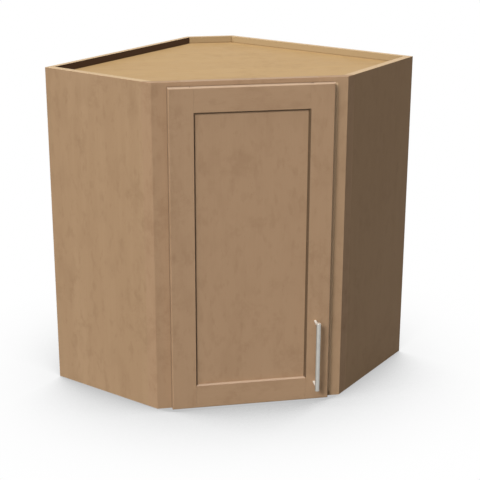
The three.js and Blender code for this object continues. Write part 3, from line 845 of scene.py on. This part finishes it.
class Dresser:
    """Gives CAD nodes and new pieces their finishes, making each material once."""

    weld_reach: ClassVar[float] = 0.01 * MM
    sharp: ClassVar[float] = 40.0

    def __init__(self) -> None:
        """Starts with no material made."""
        self.made: dict[tuple, Material] = {}

    def material(self, finish: Finish, *choice: object) -> Material:
        """The material of a finish, made on its first use.

        Args:
            finish: The finish.
            choice: What its material method takes, such as a grain direction.

        Returns:
            The material.
        """
        key = (finish, *choice)
        if key not in self.made:
            self.made[key] = finish.material(*choice)
        return self.made[key]

    def dress(self, piece: Piece, finish: Finish, *choice: object) -> None:
        """Puts one finish on a piece in place of what it had."""
        piece.data.materials.clear()
        piece.data.materials.append(self.material(finish, *choice))

    def dress_node(self, name: str, finish: Finish, *choice: object, ease: float) -> None:
        """Puts a finish on a CAD node and softens its sharp edges.

        Args:
            name: The node's name.
            finish: The finish.
            choice: What the finish's material method takes.
            ease: The width of the softened edges in metres.
        """
        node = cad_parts[name]
        self.dress(node, finish, *choice)
        weld = node.modifiers.new("weld", "WELD")
        weld.merge_threshold = self.weld_reach
        bevel = node.modifiers.new("ease", "BEVEL")
        bevel.width = ease
        bevel.segments = 2
        bevel.limit_method = "ANGLE"
        bevel.angle_limit = math.radians(self.sharp)
        bevel.harden_normals = False
        LOG.info("dressed %s", name)


# ---------------------------------------- modelling by hand


def clear_selection() -> None:
    """Leaves edit mode and deselects every object."""
    if bpy.context.object and bpy.context.object.mode != "OBJECT":
        bpy.ops.object.mode_set(mode="OBJECT")
    bpy.ops.object.select_all(action="DESELECT")


def near(value: float, target: float) -> bool:
    """Whether two lengths are the same, but for rounding."""
    return abs(value - target) <= SAME_PLACE


class Workbench:
    """Shapes one piece by hand: a primitive, worked in edit mode and finished with modifiers."""

    doubles: ClassVar[float] = 0.002 * MM

    def __init__(self, name: str) -> None:
        """Takes the primitive that was just added and fixes its place in its mesh.

        Args:
            name: The piece's name.
        """
        self.piece = bpy.context.object
        self.piece.name = name
        self.piece.data.name = name
        bpy.ops.object.transform_apply(location=True, rotation=True, scale=True)

    @classmethod
    def block(cls, name: str, low: Sequence[float], high: Sequence[float]) -> "Workbench":
        """Starts from a cube between two corners.

        Args:
            name: The piece's name.
            low: The lowest corner.
            high: The highest corner.

        Returns:
            The bench with the piece on it.
        """
        clear_selection()
        first, last = Vector(low), Vector(high)
        bpy.ops.mesh.primitive_cube_add(size=1.0, location=(first + last) / 2, scale=last - first)
        return cls(name)

    @classmethod
    def rod(
        cls, name: str, start: Sequence[float], end: Sequence[float], radius: float, sides: Sides
    ) -> "Workbench":
        """Starts from a cylinder between two points.

        Args:
            name: The piece's name.
            start: The middle of one end.
            end: The middle of the other end.
            radius: The rod's radius.
            sides: The number of faces round it.

        Returns:
            The bench with the piece on it.
        """
        clear_selection()
        first, last = Vector(start), Vector(end)
        axis = last - first
        bpy.ops.mesh.primitive_cylinder_add(
            vertices=sides,
            radius=radius,
            depth=axis.length,
            location=(first + last) / 2,
            rotation=axis.to_track_quat("Z", "Y").to_euler(),
        )
        return cls(name)

    @classmethod
    def pin(
        cls, name: str, middle: Vector, start: float, end: float, radius: float, sides: Sides
    ) -> "Workbench":
        """Starts from a cylinder that runs between two depths, with a point on its axis."""
        return cls.rod(name, (middle.x, start, middle.z), (middle.x, end, middle.z), radius, sides)

    def _activate(self) -> None:
        """Makes the piece the only selected one and the active one."""
        clear_selection()
        self.piece.select_set(True)
        bpy.context.view_layer.objects.active = self.piece

    def _edit(self, kind: str, select: str = "DESELECT") -> bmesh.types.BMesh:
        """Enters edit mode with nothing or all selected.

        Args:
            kind: EDGE or FACE.
            select: DESELECT or SELECT.

        Returns:
            The mesh under edit.
        """
        self._activate()
        bpy.ops.object.mode_set(mode="EDIT")
        bpy.ops.mesh.select_mode(type=kind)
        bpy.ops.mesh.select_all(action=select)
        return bmesh.from_edit_mesh(self.piece.data)

    def _modifier(self, kind: str, **settings: object) -> "Workbench":
        """Adds a modifier with its settings and applies it.

        Args:
            kind: The modifier's type.
            settings: Properties to set on it.

        Returns:
            The same bench.
        """
        self._activate()
        modifier = self.piece.modifiers.new(kind.lower(), kind)
        for name, value in settings.items():
            setattr(modifier, name, value)
        bpy.ops.object.modifier_apply(modifier=modifier.name)
        return self

    def edges(self, test: Callable[[Vector, Vector], bool]) -> "Workbench":
        """Selects the edges whose two ends pass a test, and nothing else.

        Args:
            test: Takes the places of the edge's ends.

        Returns:
            The same bench.
        """
        mesh = self._edit("EDGE")
        for edge in mesh.edges:
            edge.select_set(test(edge.verts[0].co, edge.verts[1].co))
        bmesh.update_edit_mesh(self.piece.data)
        return self

    def edges_at(self, **place: float) -> "Workbench":
        """Selects the edges that lie wholly at given coordinates.

        Args:
            place: The coordinates by axis, such as x and y for an upright edge.

        Returns:
            The same bench.
        """

        def lies_there(*ends: Vector) -> bool:
            """Whether both ends have all the coordinates."""
            return all(near(getattr(end, axis), value) for end in ends for axis, value in place.items())

        return self.edges(lies_there)

    def faces(self, test: Callable[[Vector, Vector], bool]) -> "Workbench":
        """Selects the faces that pass a test, and nothing else.

        Args:
            test: Takes the face's middle and its normal.

        Returns:
            The same bench.
        """
        mesh = self._edit("FACE")
        for face in mesh.faces:
            face.select_set(test(face.calc_center_median(), face.normal))
        bmesh.update_edit_mesh(self.piece.data)
        return self

    def slice(self, depth: float) -> "Workbench":
        """Cuts a line of edges round the piece at a depth behind its front.

        Args:
            depth: The cut's place from front to back.

        Returns:
            The same bench.
        """
        self._edit("FACE", "SELECT")
        bpy.ops.mesh.bisect(plane_co=(0, depth, 0), plane_no=(0, 1, 0))
        return self

    def bevel(self, width: float, segments: int) -> "Workbench":
        """Rounds the selected edges."""
        bpy.ops.mesh.bevel(offset=width, segments=segments, affect="EDGES", clamp_overlap=True)
        return self

    def inset(self, width: float) -> "Workbench":
        """Sets a smaller face into each selected face."""
        bpy.ops.mesh.inset(thickness=width)
        return self

    def extrude(self, move: Sequence[float]) -> "Workbench":
        """Draws the selected faces out along a vector."""
        bpy.ops.mesh.extrude_region_move(TRANSFORM_OT_translate={"value": tuple(move)})
        return self

    def taper(self, share: float) -> "Workbench":
        """Scales what is selected towards the origin."""
        bpy.ops.transform.resize(value=(share, share, share), center_override=(0, 0, 0))
        return self

    def slide(self, move: Sequence[float]) -> "Workbench":
        """Moves what is selected along a vector."""
        bpy.ops.transform.translate(value=tuple(move))
        return self

    def merge(self, reach: float) -> None:
        """Merges all corners that lie within a reach of each other, and keeps all selected."""
        self._edit("FACE", "SELECT")
        bpy.ops.mesh.remove_doubles(threshold=reach)

    def combine(self, other: "Workbench", operation: str = "DIFFERENCE") -> "Workbench":
        """Cuts another piece out of this one or joins it on, and uses the other piece up.

        Args:
            other: The bench that holds the other piece.
            operation: DIFFERENCE or UNION.

        Returns:
            The same bench.
        """
        self._modifier("BOOLEAN", operation=operation, solver="EXACT", object=other.piece)
        bpy.data.objects.remove(other.piece)
        return self

    def soften(self, width: float, over: float = 40.0) -> "Workbench":
        """Rounds every edge that is sharper than an angle in degrees."""
        limit = {"limit_method": "ANGLE", "angle_limit": math.radians(over)}
        return self._modifier("BEVEL", width=width, segments=2, **limit)

    def finish(self, smooth: float = 32.0) -> Piece:
        """Merges doubles, turns the faces outwards and smooths the shading.

        Args:
            smooth: The sharpest angle in degrees that is still shaded smooth.

        Returns:
            The finished piece.
        """
        self.merge(self.doubles)
        bpy.ops.mesh.normals_make_consistent(inside=False)
        self._activate()
        bpy.ops.object.shade_smooth_by_angle(angle=math.radians(smooth))
        return self._modifier("WEIGHTED_NORMAL", keep_sharp=True).piece


def stand_for(piece: Piece, body: str, node: str) -> None:
    """Lets a new piece ride on a body in place of its CAD node.

    Args:
        piece: The new piece.
        body: The body that it rides on.
        node: The CAD node that it stands for.
    """
    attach(piece, body)
    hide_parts(node)
    LOG.info("made %s", piece.name)


def stand_as_pair(lower: Piece, stem: str, matter: str) -> None:
    """Copies the lower of two like pieces on the door to the upper one's place.

    Args:
        lower: The lower piece.
        stem: What the two CAD nodes' names start with.
        matter: What the pieces' names end with.
    """
    rise = corners(f"{stem}_upper")[0].z - corners(f"{stem}_lower")[0].z
    name = f"{stem}_upper_{matter}"
    upper = lower.copy()
    upper.data = lower.data.copy()
    upper.name = name
    upper.data.name = name
    upper.data.transform(Matrix.Translation((0, 0, rise)))
    bpy.context.scene.collection.objects.link(upper)
    stand_for(lower, "door", f"{stem}_lower")
    stand_for(upper, "door", f"{stem}_upper")


# ---------------------------------------- sub-assemblies


@dataclass
class Assembly:
    """Pieces that are made together, and what gives them their finishes."""

    dresser: Dresser

    def build(self) -> None:
        """Models or dresses the pieces."""
        raise NotImplementedError


@dataclass
class Carcass(Assembly):
    """The side and back panels, the top and bottom panels, and the shelves."""

    ease: float = 0.5 * MM

    def build(self) -> None:
        """Gives the panels their veneer, plywood edges and clear interior faces."""
        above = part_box("top_panel")[1][2]
        for side, turn, veneer in (("left", 45.0, VENEER), ("right", -45.0, PLAIN_VENEER)):
            name = f"{side}_side_panel"
            self.dresser.dress_node(name, veneer, Grain.UPRIGHT, Plies(turn), ease=self.ease)
        # painted shade tones for each rim's inner face, darkest on the left, which lies in shadow
        for side, turn, faces, tone in (
            ("left", -45.0, -45.0, srgb(84, 64, 50)),
            ("right", 45.0, -135.0, srgb(157, 133, 98)),
            ("corner", 0.0, -90.0, srgb(160, 136, 101)),
        ):
            covers = (Plies(turn), InnerRim(above, faces, tone))
            name = f"{side}_back_panel"
            self.dresser.dress_node(name, CLEAR, Grain.UPRIGHT, *covers, ease=self.ease)
        for name in ("top_panel", "bottom_panel", "shelf_lower", "shelf_upper"):
            self.dresser.dress_node(name, CLEAR, Grain.ACROSS, ease=self.ease)


@dataclass
class FaceFrame(Assembly):
    """The two stiles and two rails round the opening."""

    ease: float = 0.7 * MM

    def build(self) -> None:
        """Gives each member stained wood with the grain along it."""
        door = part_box("door_stile_handle_side")[1]
        # the right stile gets painted light beside the door's edge
        for side, covers in (("left", ()), ("right", (DoorShadowFill(door[0], door[2]),))):
            stile = f"frame_stile_{side}"
            self.dresser.dress_node(stile, MATT_STAINED, Grain.UPRIGHT, *covers, ease=self.ease)
        for end in ("bottom", "top"):
            self.dresser.dress_node(f"frame_rail_{end}", STAINED, Grain.ACROSS, ease=self.ease)


@dataclass
class Door(Assembly):
    """The cope and stick door: two stiles, two rails and a flat panel let into them."""

    recess: float = 6.35 * MM
    panel: float = 6.35 * MM
    play: float = 0.15 * MM
    groove: float = 9.5 * MM
    stick: float = 2.0 * MM
    round_over: float = 3.0 * MM
    round_steps: int = 6
    ease: float = 0.35 * MM
    cup_reach: float = 19.5 * MM
    cup_flange: float = 2.0 * MM
    bore_play: float = 0.2 * MM
    screw_hole: float = 2.1 * MM
    past: float = 1.0 * MM
    past_ends: float = 10.0 * MM

    def build(self) -> None:
        """Models the members, bores them for hinges and handle, and finishes them."""
        low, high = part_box("door_stile_hinge_side")
        recess_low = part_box("door_rail_bottom")[1][2]
        top_low, top_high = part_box("door_rail_top")
        # painted shade and highlight round the recess, and painted highlight and shade on the door's outer
        # edges
        covers = (
            RecessShade(abs(high[0]), recess_low, top_low[2]),
            DoorEdge(abs(low[0]), low[2], top_high[2], high[1]),
        )
        for name, bores in (
            ("door_stile_hinge_side", self._cup_bores()),
            ("door_stile_handle_side", self._handle_bores()),
        ):
            bench = self._stile(name)
            for bore in bores:
                bench.combine(bore)
            self._hand_over(bench, name, Grain.UPRIGHT, covers)
        for name in ("door_rail_bottom", "door_rail_top"):
            self._hand_over(self._rail(name), name, Grain.ACROSS, covers)
        self.dresser.dress_node("door_centre_panel", STAINED, Grain.UPRIGHT, covers[0], ease=self.ease)

    def _hand_over(self, bench: Workbench, name: str, grain: Grain, covers: tuple[Cover, ...]) -> None:
        """Finishes a member and lets it stand for its CAD node.

        Args:
            bench: The bench with the member.
            name: The node that it stands for.
            grain: The way its grain runs.
            covers: What lies over its wood.
        """
        piece = bench.soften(self.ease).finish()
        self.dresser.dress(piece, STAINED, grain, *covers)
        stand_for(piece, "door", name)

    def _stile(self, name: str) -> Workbench:
        """Models a stile: sloped inner edge, rounded outer edges and panel groove.

        Args:
            name: The node that the stile stands for.

        Returns:
            The bench with the stile.
        """
        low, high = corners(name)
        sign = 1.0 if low.x > 0 else -1.0
        inner, outer = (low.x, high.x) if sign > 0 else (high.x, low.x)
        front = low.y
        groove_front, groove_back = self._groove_depths(front)
        bench = Workbench.block(f"{name}_wood", low, high).slice(groove_front)
        bench.edges_at(x=inner, y=front).slide((sign * self.stick, 0, 0))

        def rounded(a: Vector, b: Vector) -> bool:
            """Whether an edge is on the door's outer front rim."""
            in_front = near(a.y, front) and near(b.y, front)
            return in_front and (near(a.z, b.z) or near(a.x, outer) and near(b.x, outer))

        bench.edges(rounded).bevel(self.round_over, self.round_steps)
        left, right = sorted((inner - sign * self.past, inner + sign * self.groove))
        ends = (left, groove_front, low.z - self.past), (right, groove_back, high.z + self.past)
        return bench.combine(Workbench.block("groove", *ends))

    def _rail(self, name: str) -> Workbench:
        """Models a rail: coped ends, sloped inner edge, panel groove and stub tenons.

        Args:
            name: The node that the rail stands for.

        Returns:
            The bench with the rail.
        """
        low, high = corners(name)
        up = 1.0 if name.endswith("bottom") else -1.0
        inner, outer = (high.z, low.z) if up > 0 else (low.z, high.z)
        front = low.y
        groove_front, groove_back = self._groove_depths(front)
        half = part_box("door_stile_handle_side")[0][0] - self.play
        bench = Workbench.block(f"{name}_wood", (-half, front, low.z), (half, high.y, high.z))
        bench.slice(groove_front)
        bench.edges_at(y=front, z=inner).slide((0, 0, -up * self.stick))
        for end in (-1.0, 1.0):
            bench.edges_at(x=end * half, y=front).slide((end * self.stick, 0, 0))
        bench.edges_at(y=front, z=outer).bevel(self.round_over, self.round_steps)
        floor = inner - up * self.groove
        bottom, top = sorted((inner + up * self.past, floor))
        reach = half + self.past_ends
        bench.combine(
            Workbench.block("groove", (-reach, groove_front, bottom), (reach, groove_back, top))
        )
        bottom, top = sorted((outer, floor))
        tongue = front + self.recess
        ends = (low.x, tongue, bottom), (high.x, tongue + self.panel, top)
        return bench.combine(Workbench.block("tenon", *ends), "UNION")

    def _groove_depths(self, front: float) -> tuple[float, float]:
        """Where the panel's groove starts and ends behind a member's front."""
        start = front + self.recess
        return start - self.play, start + self.panel + self.play

    def _cup_bores(self) -> list[Workbench]:
        """The cutters for the hinge cups and their screws.

        Returns:
            One bench for each cutter.
        """
        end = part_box("door_stile_hinge_side")[1][1] + self.past
        radius = self.cup_reach - self.cup_flange + self.bore_play
        cutters = []
        for place in PLACES:
            low, high = corners(f"hinge_cup_{place}")
            middle = Vector((low.x + self.cup_reach, 0.0, (low.z + high.z) / 2))
            start = low.y - self.bore_play
            cutters.append(Workbench.pin("bore", middle, start, end, radius, Sides.BORE))
            for side in PLACES:
                low, high = corners(f"hinge_cup_screw_{place}_{side}")
                middle = (low + high) / 2
                cutters.append(Workbench.pin("bore", middle, low.y, end, self.screw_hole, Sides.SMALL))
        return cutters

    def _handle_bores(self) -> list[Workbench]:
        """The cutters for the handle's screws and their heads.

        Returns:
            One bench for each cutter.
        """
        front, back = (corner[1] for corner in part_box("door_stile_handle_side"))
        start, end = front - self.past, back + self.past
        cutters = []
        for place in PLACES:
            low, high = corners(f"handle_screw_{place}")
            middle = (low + high) / 2
            head = (high.x - low.x) / 2 + self.bore_play
            seat = high.y - SCREW_HEAD
            cutters.append(Workbench.pin("bore", middle, start, end, self.screw_hole, Sides.SMALL))
            cutters.append(Workbench.pin("bore", middle, seat, end, head, Sides.ROUND))
        return cutters


@dataclass
class Handle(Assembly):
    """The bar handle: a round bar on two posts."""

    chamfer: float = 0.8 * MM
    foot: float = 0.4 * MM

    def build(self) -> None:
        """Models the bar and the posts."""
        bench = self._bar("handle_bar_metal")
        bench.edges(lambda a, b: near(a.z, b.z)).bevel(self.chamfer, segments=4)
        piece = bench.finish(smooth=50.0)
        self.dresser.dress(piece, NICKEL)
        stand_for(piece, "door", "handle_bar")
        self._posts()

    def _bar(self, name: str) -> Workbench:
        """Starts the bar, or a cutter of its shape.

        Args:
            name: The piece's name.

        Returns:
            The bench with the rod.
        """
        low, high = corners("handle_bar")
        middle = (low + high) / 2
        ends = (middle.x, middle.y, low.z), (middle.x, middle.y, high.z)
        return Workbench.rod(name, *ends, (high.x - low.x) / 2, Sides.BAR)

    def _posts(self) -> None:
        """Models the lower post with its coped end, and copies it for the upper one."""
        bar_low, bar_high = corners("handle_bar")
        low, high = corners("handle_post_lower")
        foot, radius = high.y, (high.x - low.x) / 2
        start = ((bar_low + bar_high) / 2).y
        name = "handle_post_lower_metal"
        bench = Workbench.pin(name, (low + high) / 2, start, foot, radius, Sides.ROUND)
        bench.edges_at(y=foot).bevel(self.foot, segments=3)
        post = bench.combine(self._bar("cutter")).finish(smooth=40.0)
        # a lighter copy of the nickel, as a painted highlight on the posts
        self.dresser.dress(post, HIGHLIT_NICKEL)
        stand_as_pair(post, "handle_post", "metal")


@dataclass
class Bumpers(Assembly):
    """The two clear bumpers that the door closes on."""

    dome: float = 1.6 * MM

    def build(self) -> None:
        """Models one domed bumper and copies it."""
        low, high = corners("door_bumper_lower")
        face, radius = high.y, (high.x - low.x) / 2
        name = "door_bumper_lower_rubber"
        bench = Workbench.pin(name, (low + high) / 2, low.y, face, radius, Sides.ROUND)
        bumper = bench.edges_at(y=face).bevel(self.dome, segments=6).finish(smooth=50.0)
        self.dresser.dress(bumper, RUBBER)
        stand_as_pair(bumper, "door_bumper", "rubber")


@dataclass
class Screw(Assembly):
    """A wood or machine screw with a domed head and a cross recess.

    The dome's height and the recess's depth are shares of the head's thickness, and the recess's
    length and width are shares of the head's radius.
    """

    node: str
    body: str
    axis: Vector
    thick: float
    shank: float = 1.9 * MM
    point: float = 0.4
    dome: float = 0.7
    recess_long: float = 0.6
    recess_wide: float = 0.13
    recess_deep: float = 0.65

    def build(self) -> None:
        """Models the screw along its own axis and stands it in its hole."""
        low, high = corners(self.node)
        length = abs((high - low).dot(self.axis))
        tip = (low + high) / 2 - self.axis * length / 2
        piece = self._shape(length, (high.z - low.z) / 2)
        turn = Vector(UP).rotation_difference(self.axis).to_matrix().to_4x4()
        piece.data.transform(Matrix.Translation(tip) @ turn)
        self.dresser.dress(piece, STEEL)
        stand_for(piece, self.body, self.node)

    def _shape(self, length: float, head: float) -> Piece:
        """Models the screw upright with its tip at the origin.

        Args:
            length: Tip to the top of the head.
            head: The head's radius.

        Returns:
            The screw.
        """
        under, downward = length - self.thick, -0.9
        bench = Workbench.rod(f"{self.node}_steel", (0, 0, under), (0, 0, length), head, Sides.HEAD)
        bench.edges_at(z=length).bevel(self.thick * self.dome, segments=4)
        bench.faces(lambda middle, normal: normal.z < downward).inset(head - self.shank)
        bench.extrude((0, 0, self.shank - under))
        bench.faces(lambda middle, normal: normal.z < downward and near(middle.z, self.shank))
        bench.extrude((0, 0, -self.shank)).taper(self.point)
        long, wide = head * self.recess_long, head * self.recess_wide
        floor = length - self.thick * self.recess_deep
        for x, y in ((long, wide), (wide, long)):
            bench.combine(Workbench.block("recess", (-x, -y, floor), (x, y, length + MM)))
        return bench.finish(smooth=40.0)


@dataclass
class Hinges(Assembly):
    """The two concealed hinges, with their screws and the handle's."""

    small_head: float = 0.6 * MM
    ease: float = 0.22 * MM
    flat: float = 1.0

    def build(self) -> None:
        """Smooths the hinge solids and models their screws and the handle's."""
        bodies = {"cup": "door", "arm": "cabinet", "main_link": "main_links", "tail_link": "tail_links"}
        inwards, sideways = Vector((0, 1, 0)), Vector((1, 0, 0))
        for place in PLACES:
            for part, body in bodies.items():
                self._smooth(f"hinge_{part}_{place}", body)
            for end in PLACES:
                self._screw(f"hinge_cup_screw_{place}_{end}", "door", inwards, self.small_head)
                self._screw(f"hinge_arm_screw_{place}_{end}", "cabinet", sideways, SCREW_HEAD)
            self._screw(f"handle_screw_{place}", "door", inwards, SCREW_HEAD)

    def _screw(self, node: str, body: str, axis: Vector, thick: float) -> None:
        """Models one screw, which points along an axis and has a head of a thickness."""
        Screw(self.dresser, node, body, axis, thick).build()

    def _smooth(self, node: str, body: str) -> None:
        """Copies a hinge solid, joins its faces and rounds its stamped edges.

        Args:
            node: The CAD node.
            body: The body that it rides on.
        """
        clear_selection()
        name = f"{node}_steel"
        piece = bpy.data.objects.new(name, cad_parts[node].data.copy())
        bpy.context.scene.collection.objects.link(piece)
        piece.select_set(True)
        bpy.context.view_layer.objects.active = piece
        bench = Workbench(name)
        bench.merge(self.dresser.weld_reach)
        bpy.ops.mesh.dissolve_limited(angle_limit=math.radians(self.flat))
        self.dresser.dress(bench.soften(self.ease, over=50.0).finish(smooth=35.0), STEEL)
        stand_for(bench.piece, body, node)


@dataclass
class ShelfPins(Assembly):
    """The nickel pins under the shelves."""

    ease: float = 0.2 * MM

    def build(self) -> None:
        """Gives every pin its nickel."""
        for level in (1, 2):
            for place in ("left_rear", "left_front", "right_rear", "right_front", "corner"):
                self.dresser.dress_node(f"shelf_pin_{level}_{place}", NICKEL, ease=self.ease)


# ---------------------------------------- studio and view


@dataclass(frozen=True)
class Sun:
    """A sun, with the way from the cabinet to it, its width in degrees and how far out it hangs."""

    name: str
    towards: tuple[float, float, float]
    strength: float
    angle: float
    away: float = 3.0

    def build(self) -> None:
        """Adds the sun."""
        light = bpy.data.lights.new(self.name, "SUN")
        light.energy = self.strength
        light.angle = math.radians(self.angle)
        lamp = bpy.data.objects.new(self.name, light)
        lamp.rotation_euler = Vector(self.towards).to_track_quat("Z", "Y").to_euler()
        lamp.location = Vector(self.towards).normalized() * self.away
        bpy.context.scene.collection.objects.link(lamp)


@dataclass
class Studio:
    """A white floor, a key and a soft fill light from the front left, and a light from above."""

    floor_half: float = 9.0
    floor_below: float = 0.5 * MM
    shade_reach: float = 0.5
    shade_fall: float = 2.37
    shade_depth: float = 2.45
    shade_least: float = 0.52
    ambient: float = 0.11
    white: Colour = srgb(255, 255, 255)
    matt_grey: Colour = srgb(90, 90, 90)
    suns: tuple[Sun, ...] = (
        Sun("key_light", (-0.44, -0.71, 0.56), 2.42, 18.0),
        Sun("fill_light", (-0.58, -0.82, 0.04), 1.62, 80.0),
        Sun("sky_light", (-0.12, 0.0, 0.59), 2.1, 24.0),
    )

    def build(self) -> None:
        """Builds the floor, the world and the three lights."""
        self._floor()
        self._world()
        for sun in self.suns:
            sun.build()
        LOG.info("made the studio")

    @staticmethod
    def _seen(wire: Wiring) -> Socket:
        """A value that is 1 for camera, glossy and transmission rays.

        Args:
            wire: The material or world under construction.

        Returns:
            The value's socket.
        """
        path = wire.add("LightPath")
        shown = wire.math("MAXIMUM", path.outputs["Is Camera Ray"], path.outputs["Is Glossy Ray"])
        return wire.math("MAXIMUM", shown, path.outputs["Is Transmission Ray"])

    def _floor(self) -> None:
        """Adds the floor, white where it is seen, with the cabinet's soft shade on it."""
        clear_selection()
        bpy.ops.mesh.primitive_plane_add(size=2 * self.floor_half, location=(0, 0, -self.floor_below))
        floor = bpy.context.object
        floor.name = "floor"
        bpy.ops.object.transform_apply(location=True, rotation=True, scale=True)
        material = bpy.data.materials.new("white_floor")
        material.use_nodes = True
        wire = Wiring(material.node_tree)
        wire.tree.nodes.clear()
        around = wire.add("AmbientOcclusion", {"Distance": self.shade_reach}, samples=16)
        hidden = wire.math("SUBTRACT", 1.0, around.outputs["AO"])
        dark = wire.product(wire.math("POWER", hidden, self.shade_fall), self.shade_depth)
        light = wire.math("MAXIMUM", wire.math("SUBTRACT", 1.0, dark), self.shade_least)
        paper = wire.add("Emission", {"Color": self.white, "Strength": light})
        matt = wire.add("BsdfDiffuse", {"Color": self.matt_grey})
        shaders = {0: self._seen(wire), 1: matt.outputs[0], 2: paper.outputs[0]}
        wire.add("OutputMaterial", {"Surface": wire.add("MixShader", shaders).outputs[0]})
        floor.data.materials.append(material)

    def _world(self) -> None:
        """Makes the world white where it is seen and dim as a light."""
        world = bpy.data.worlds.new("studio")
        bpy.context.scene.world = world
        world.use_nodes = True
        wire = Wiring(world.node_tree)
        wire.tree.nodes.clear()
        inputs = {"Value": self._seen(wire), "To Min": self.ambient, "To Max": 1.0}
        strength = wire.add("MapRange", inputs).outputs["Result"]
        background = wire.add("Background", {"Color": self.white, "Strength": strength})
        wire.add("OutputWorld", {"Surface": background.outputs[0]})


@dataclass
class View:
    """The camera, as the photograph was taken."""

    place: tuple[float, float, float] = (-0.45979, -2.71712, 1.25924)
    yaw: float = 0.1815
    pitch: float = -0.3097
    roll: float = 0.0036
    lens: float = 88.613
    sensor: float = 36.0
    shift: tuple[float, float] = (-0.01265, -0.05475)
    far: float = 100.0

    def build(self) -> None:
        """Adds the camera and makes it the scene's."""
        data = bpy.data.cameras.new("view")
        data.lens = self.lens
        data.sensor_width = self.sensor
        data.shift_x, data.shift_y = self.shift
        data.clip_end = self.far
        camera = bpy.data.objects.new("view", data)
        aim = Matrix.Rotation(-self.yaw, 4, "Z") @ Matrix.Rotation(math.pi / 2 + self.pitch, 4, "X")
        turn = aim @ Matrix.Rotation(self.roll, 4, "Z")
        camera.location = self.place
        camera.rotation_euler = turn.to_euler()
        bpy.context.scene.collection.objects.link(camera)
        bpy.context.scene.camera = camera
        LOG.info("made the camera")


def write_sizes() -> None:
    """Updates the view layer."""
    bpy.context.view_layer.update()


def main() -> None:
    """Builds and dresses the cabinet, then its studio and camera."""
    logging.basicConfig(level=logging.INFO, format="%(name)s: %(message)s")
    bpy.context.scene.view_settings.view_transform = "Standard"
    Groups.build()
    dresser = Dresser()
    for assembly in (Carcass, FaceFrame, Door, Handle, Bumpers, Hinges, ShelfPins):
        assembly(dresser).build()
    Studio().build()
    View().build()
    write_sizes()


if __name__ == "__main__":
    main()
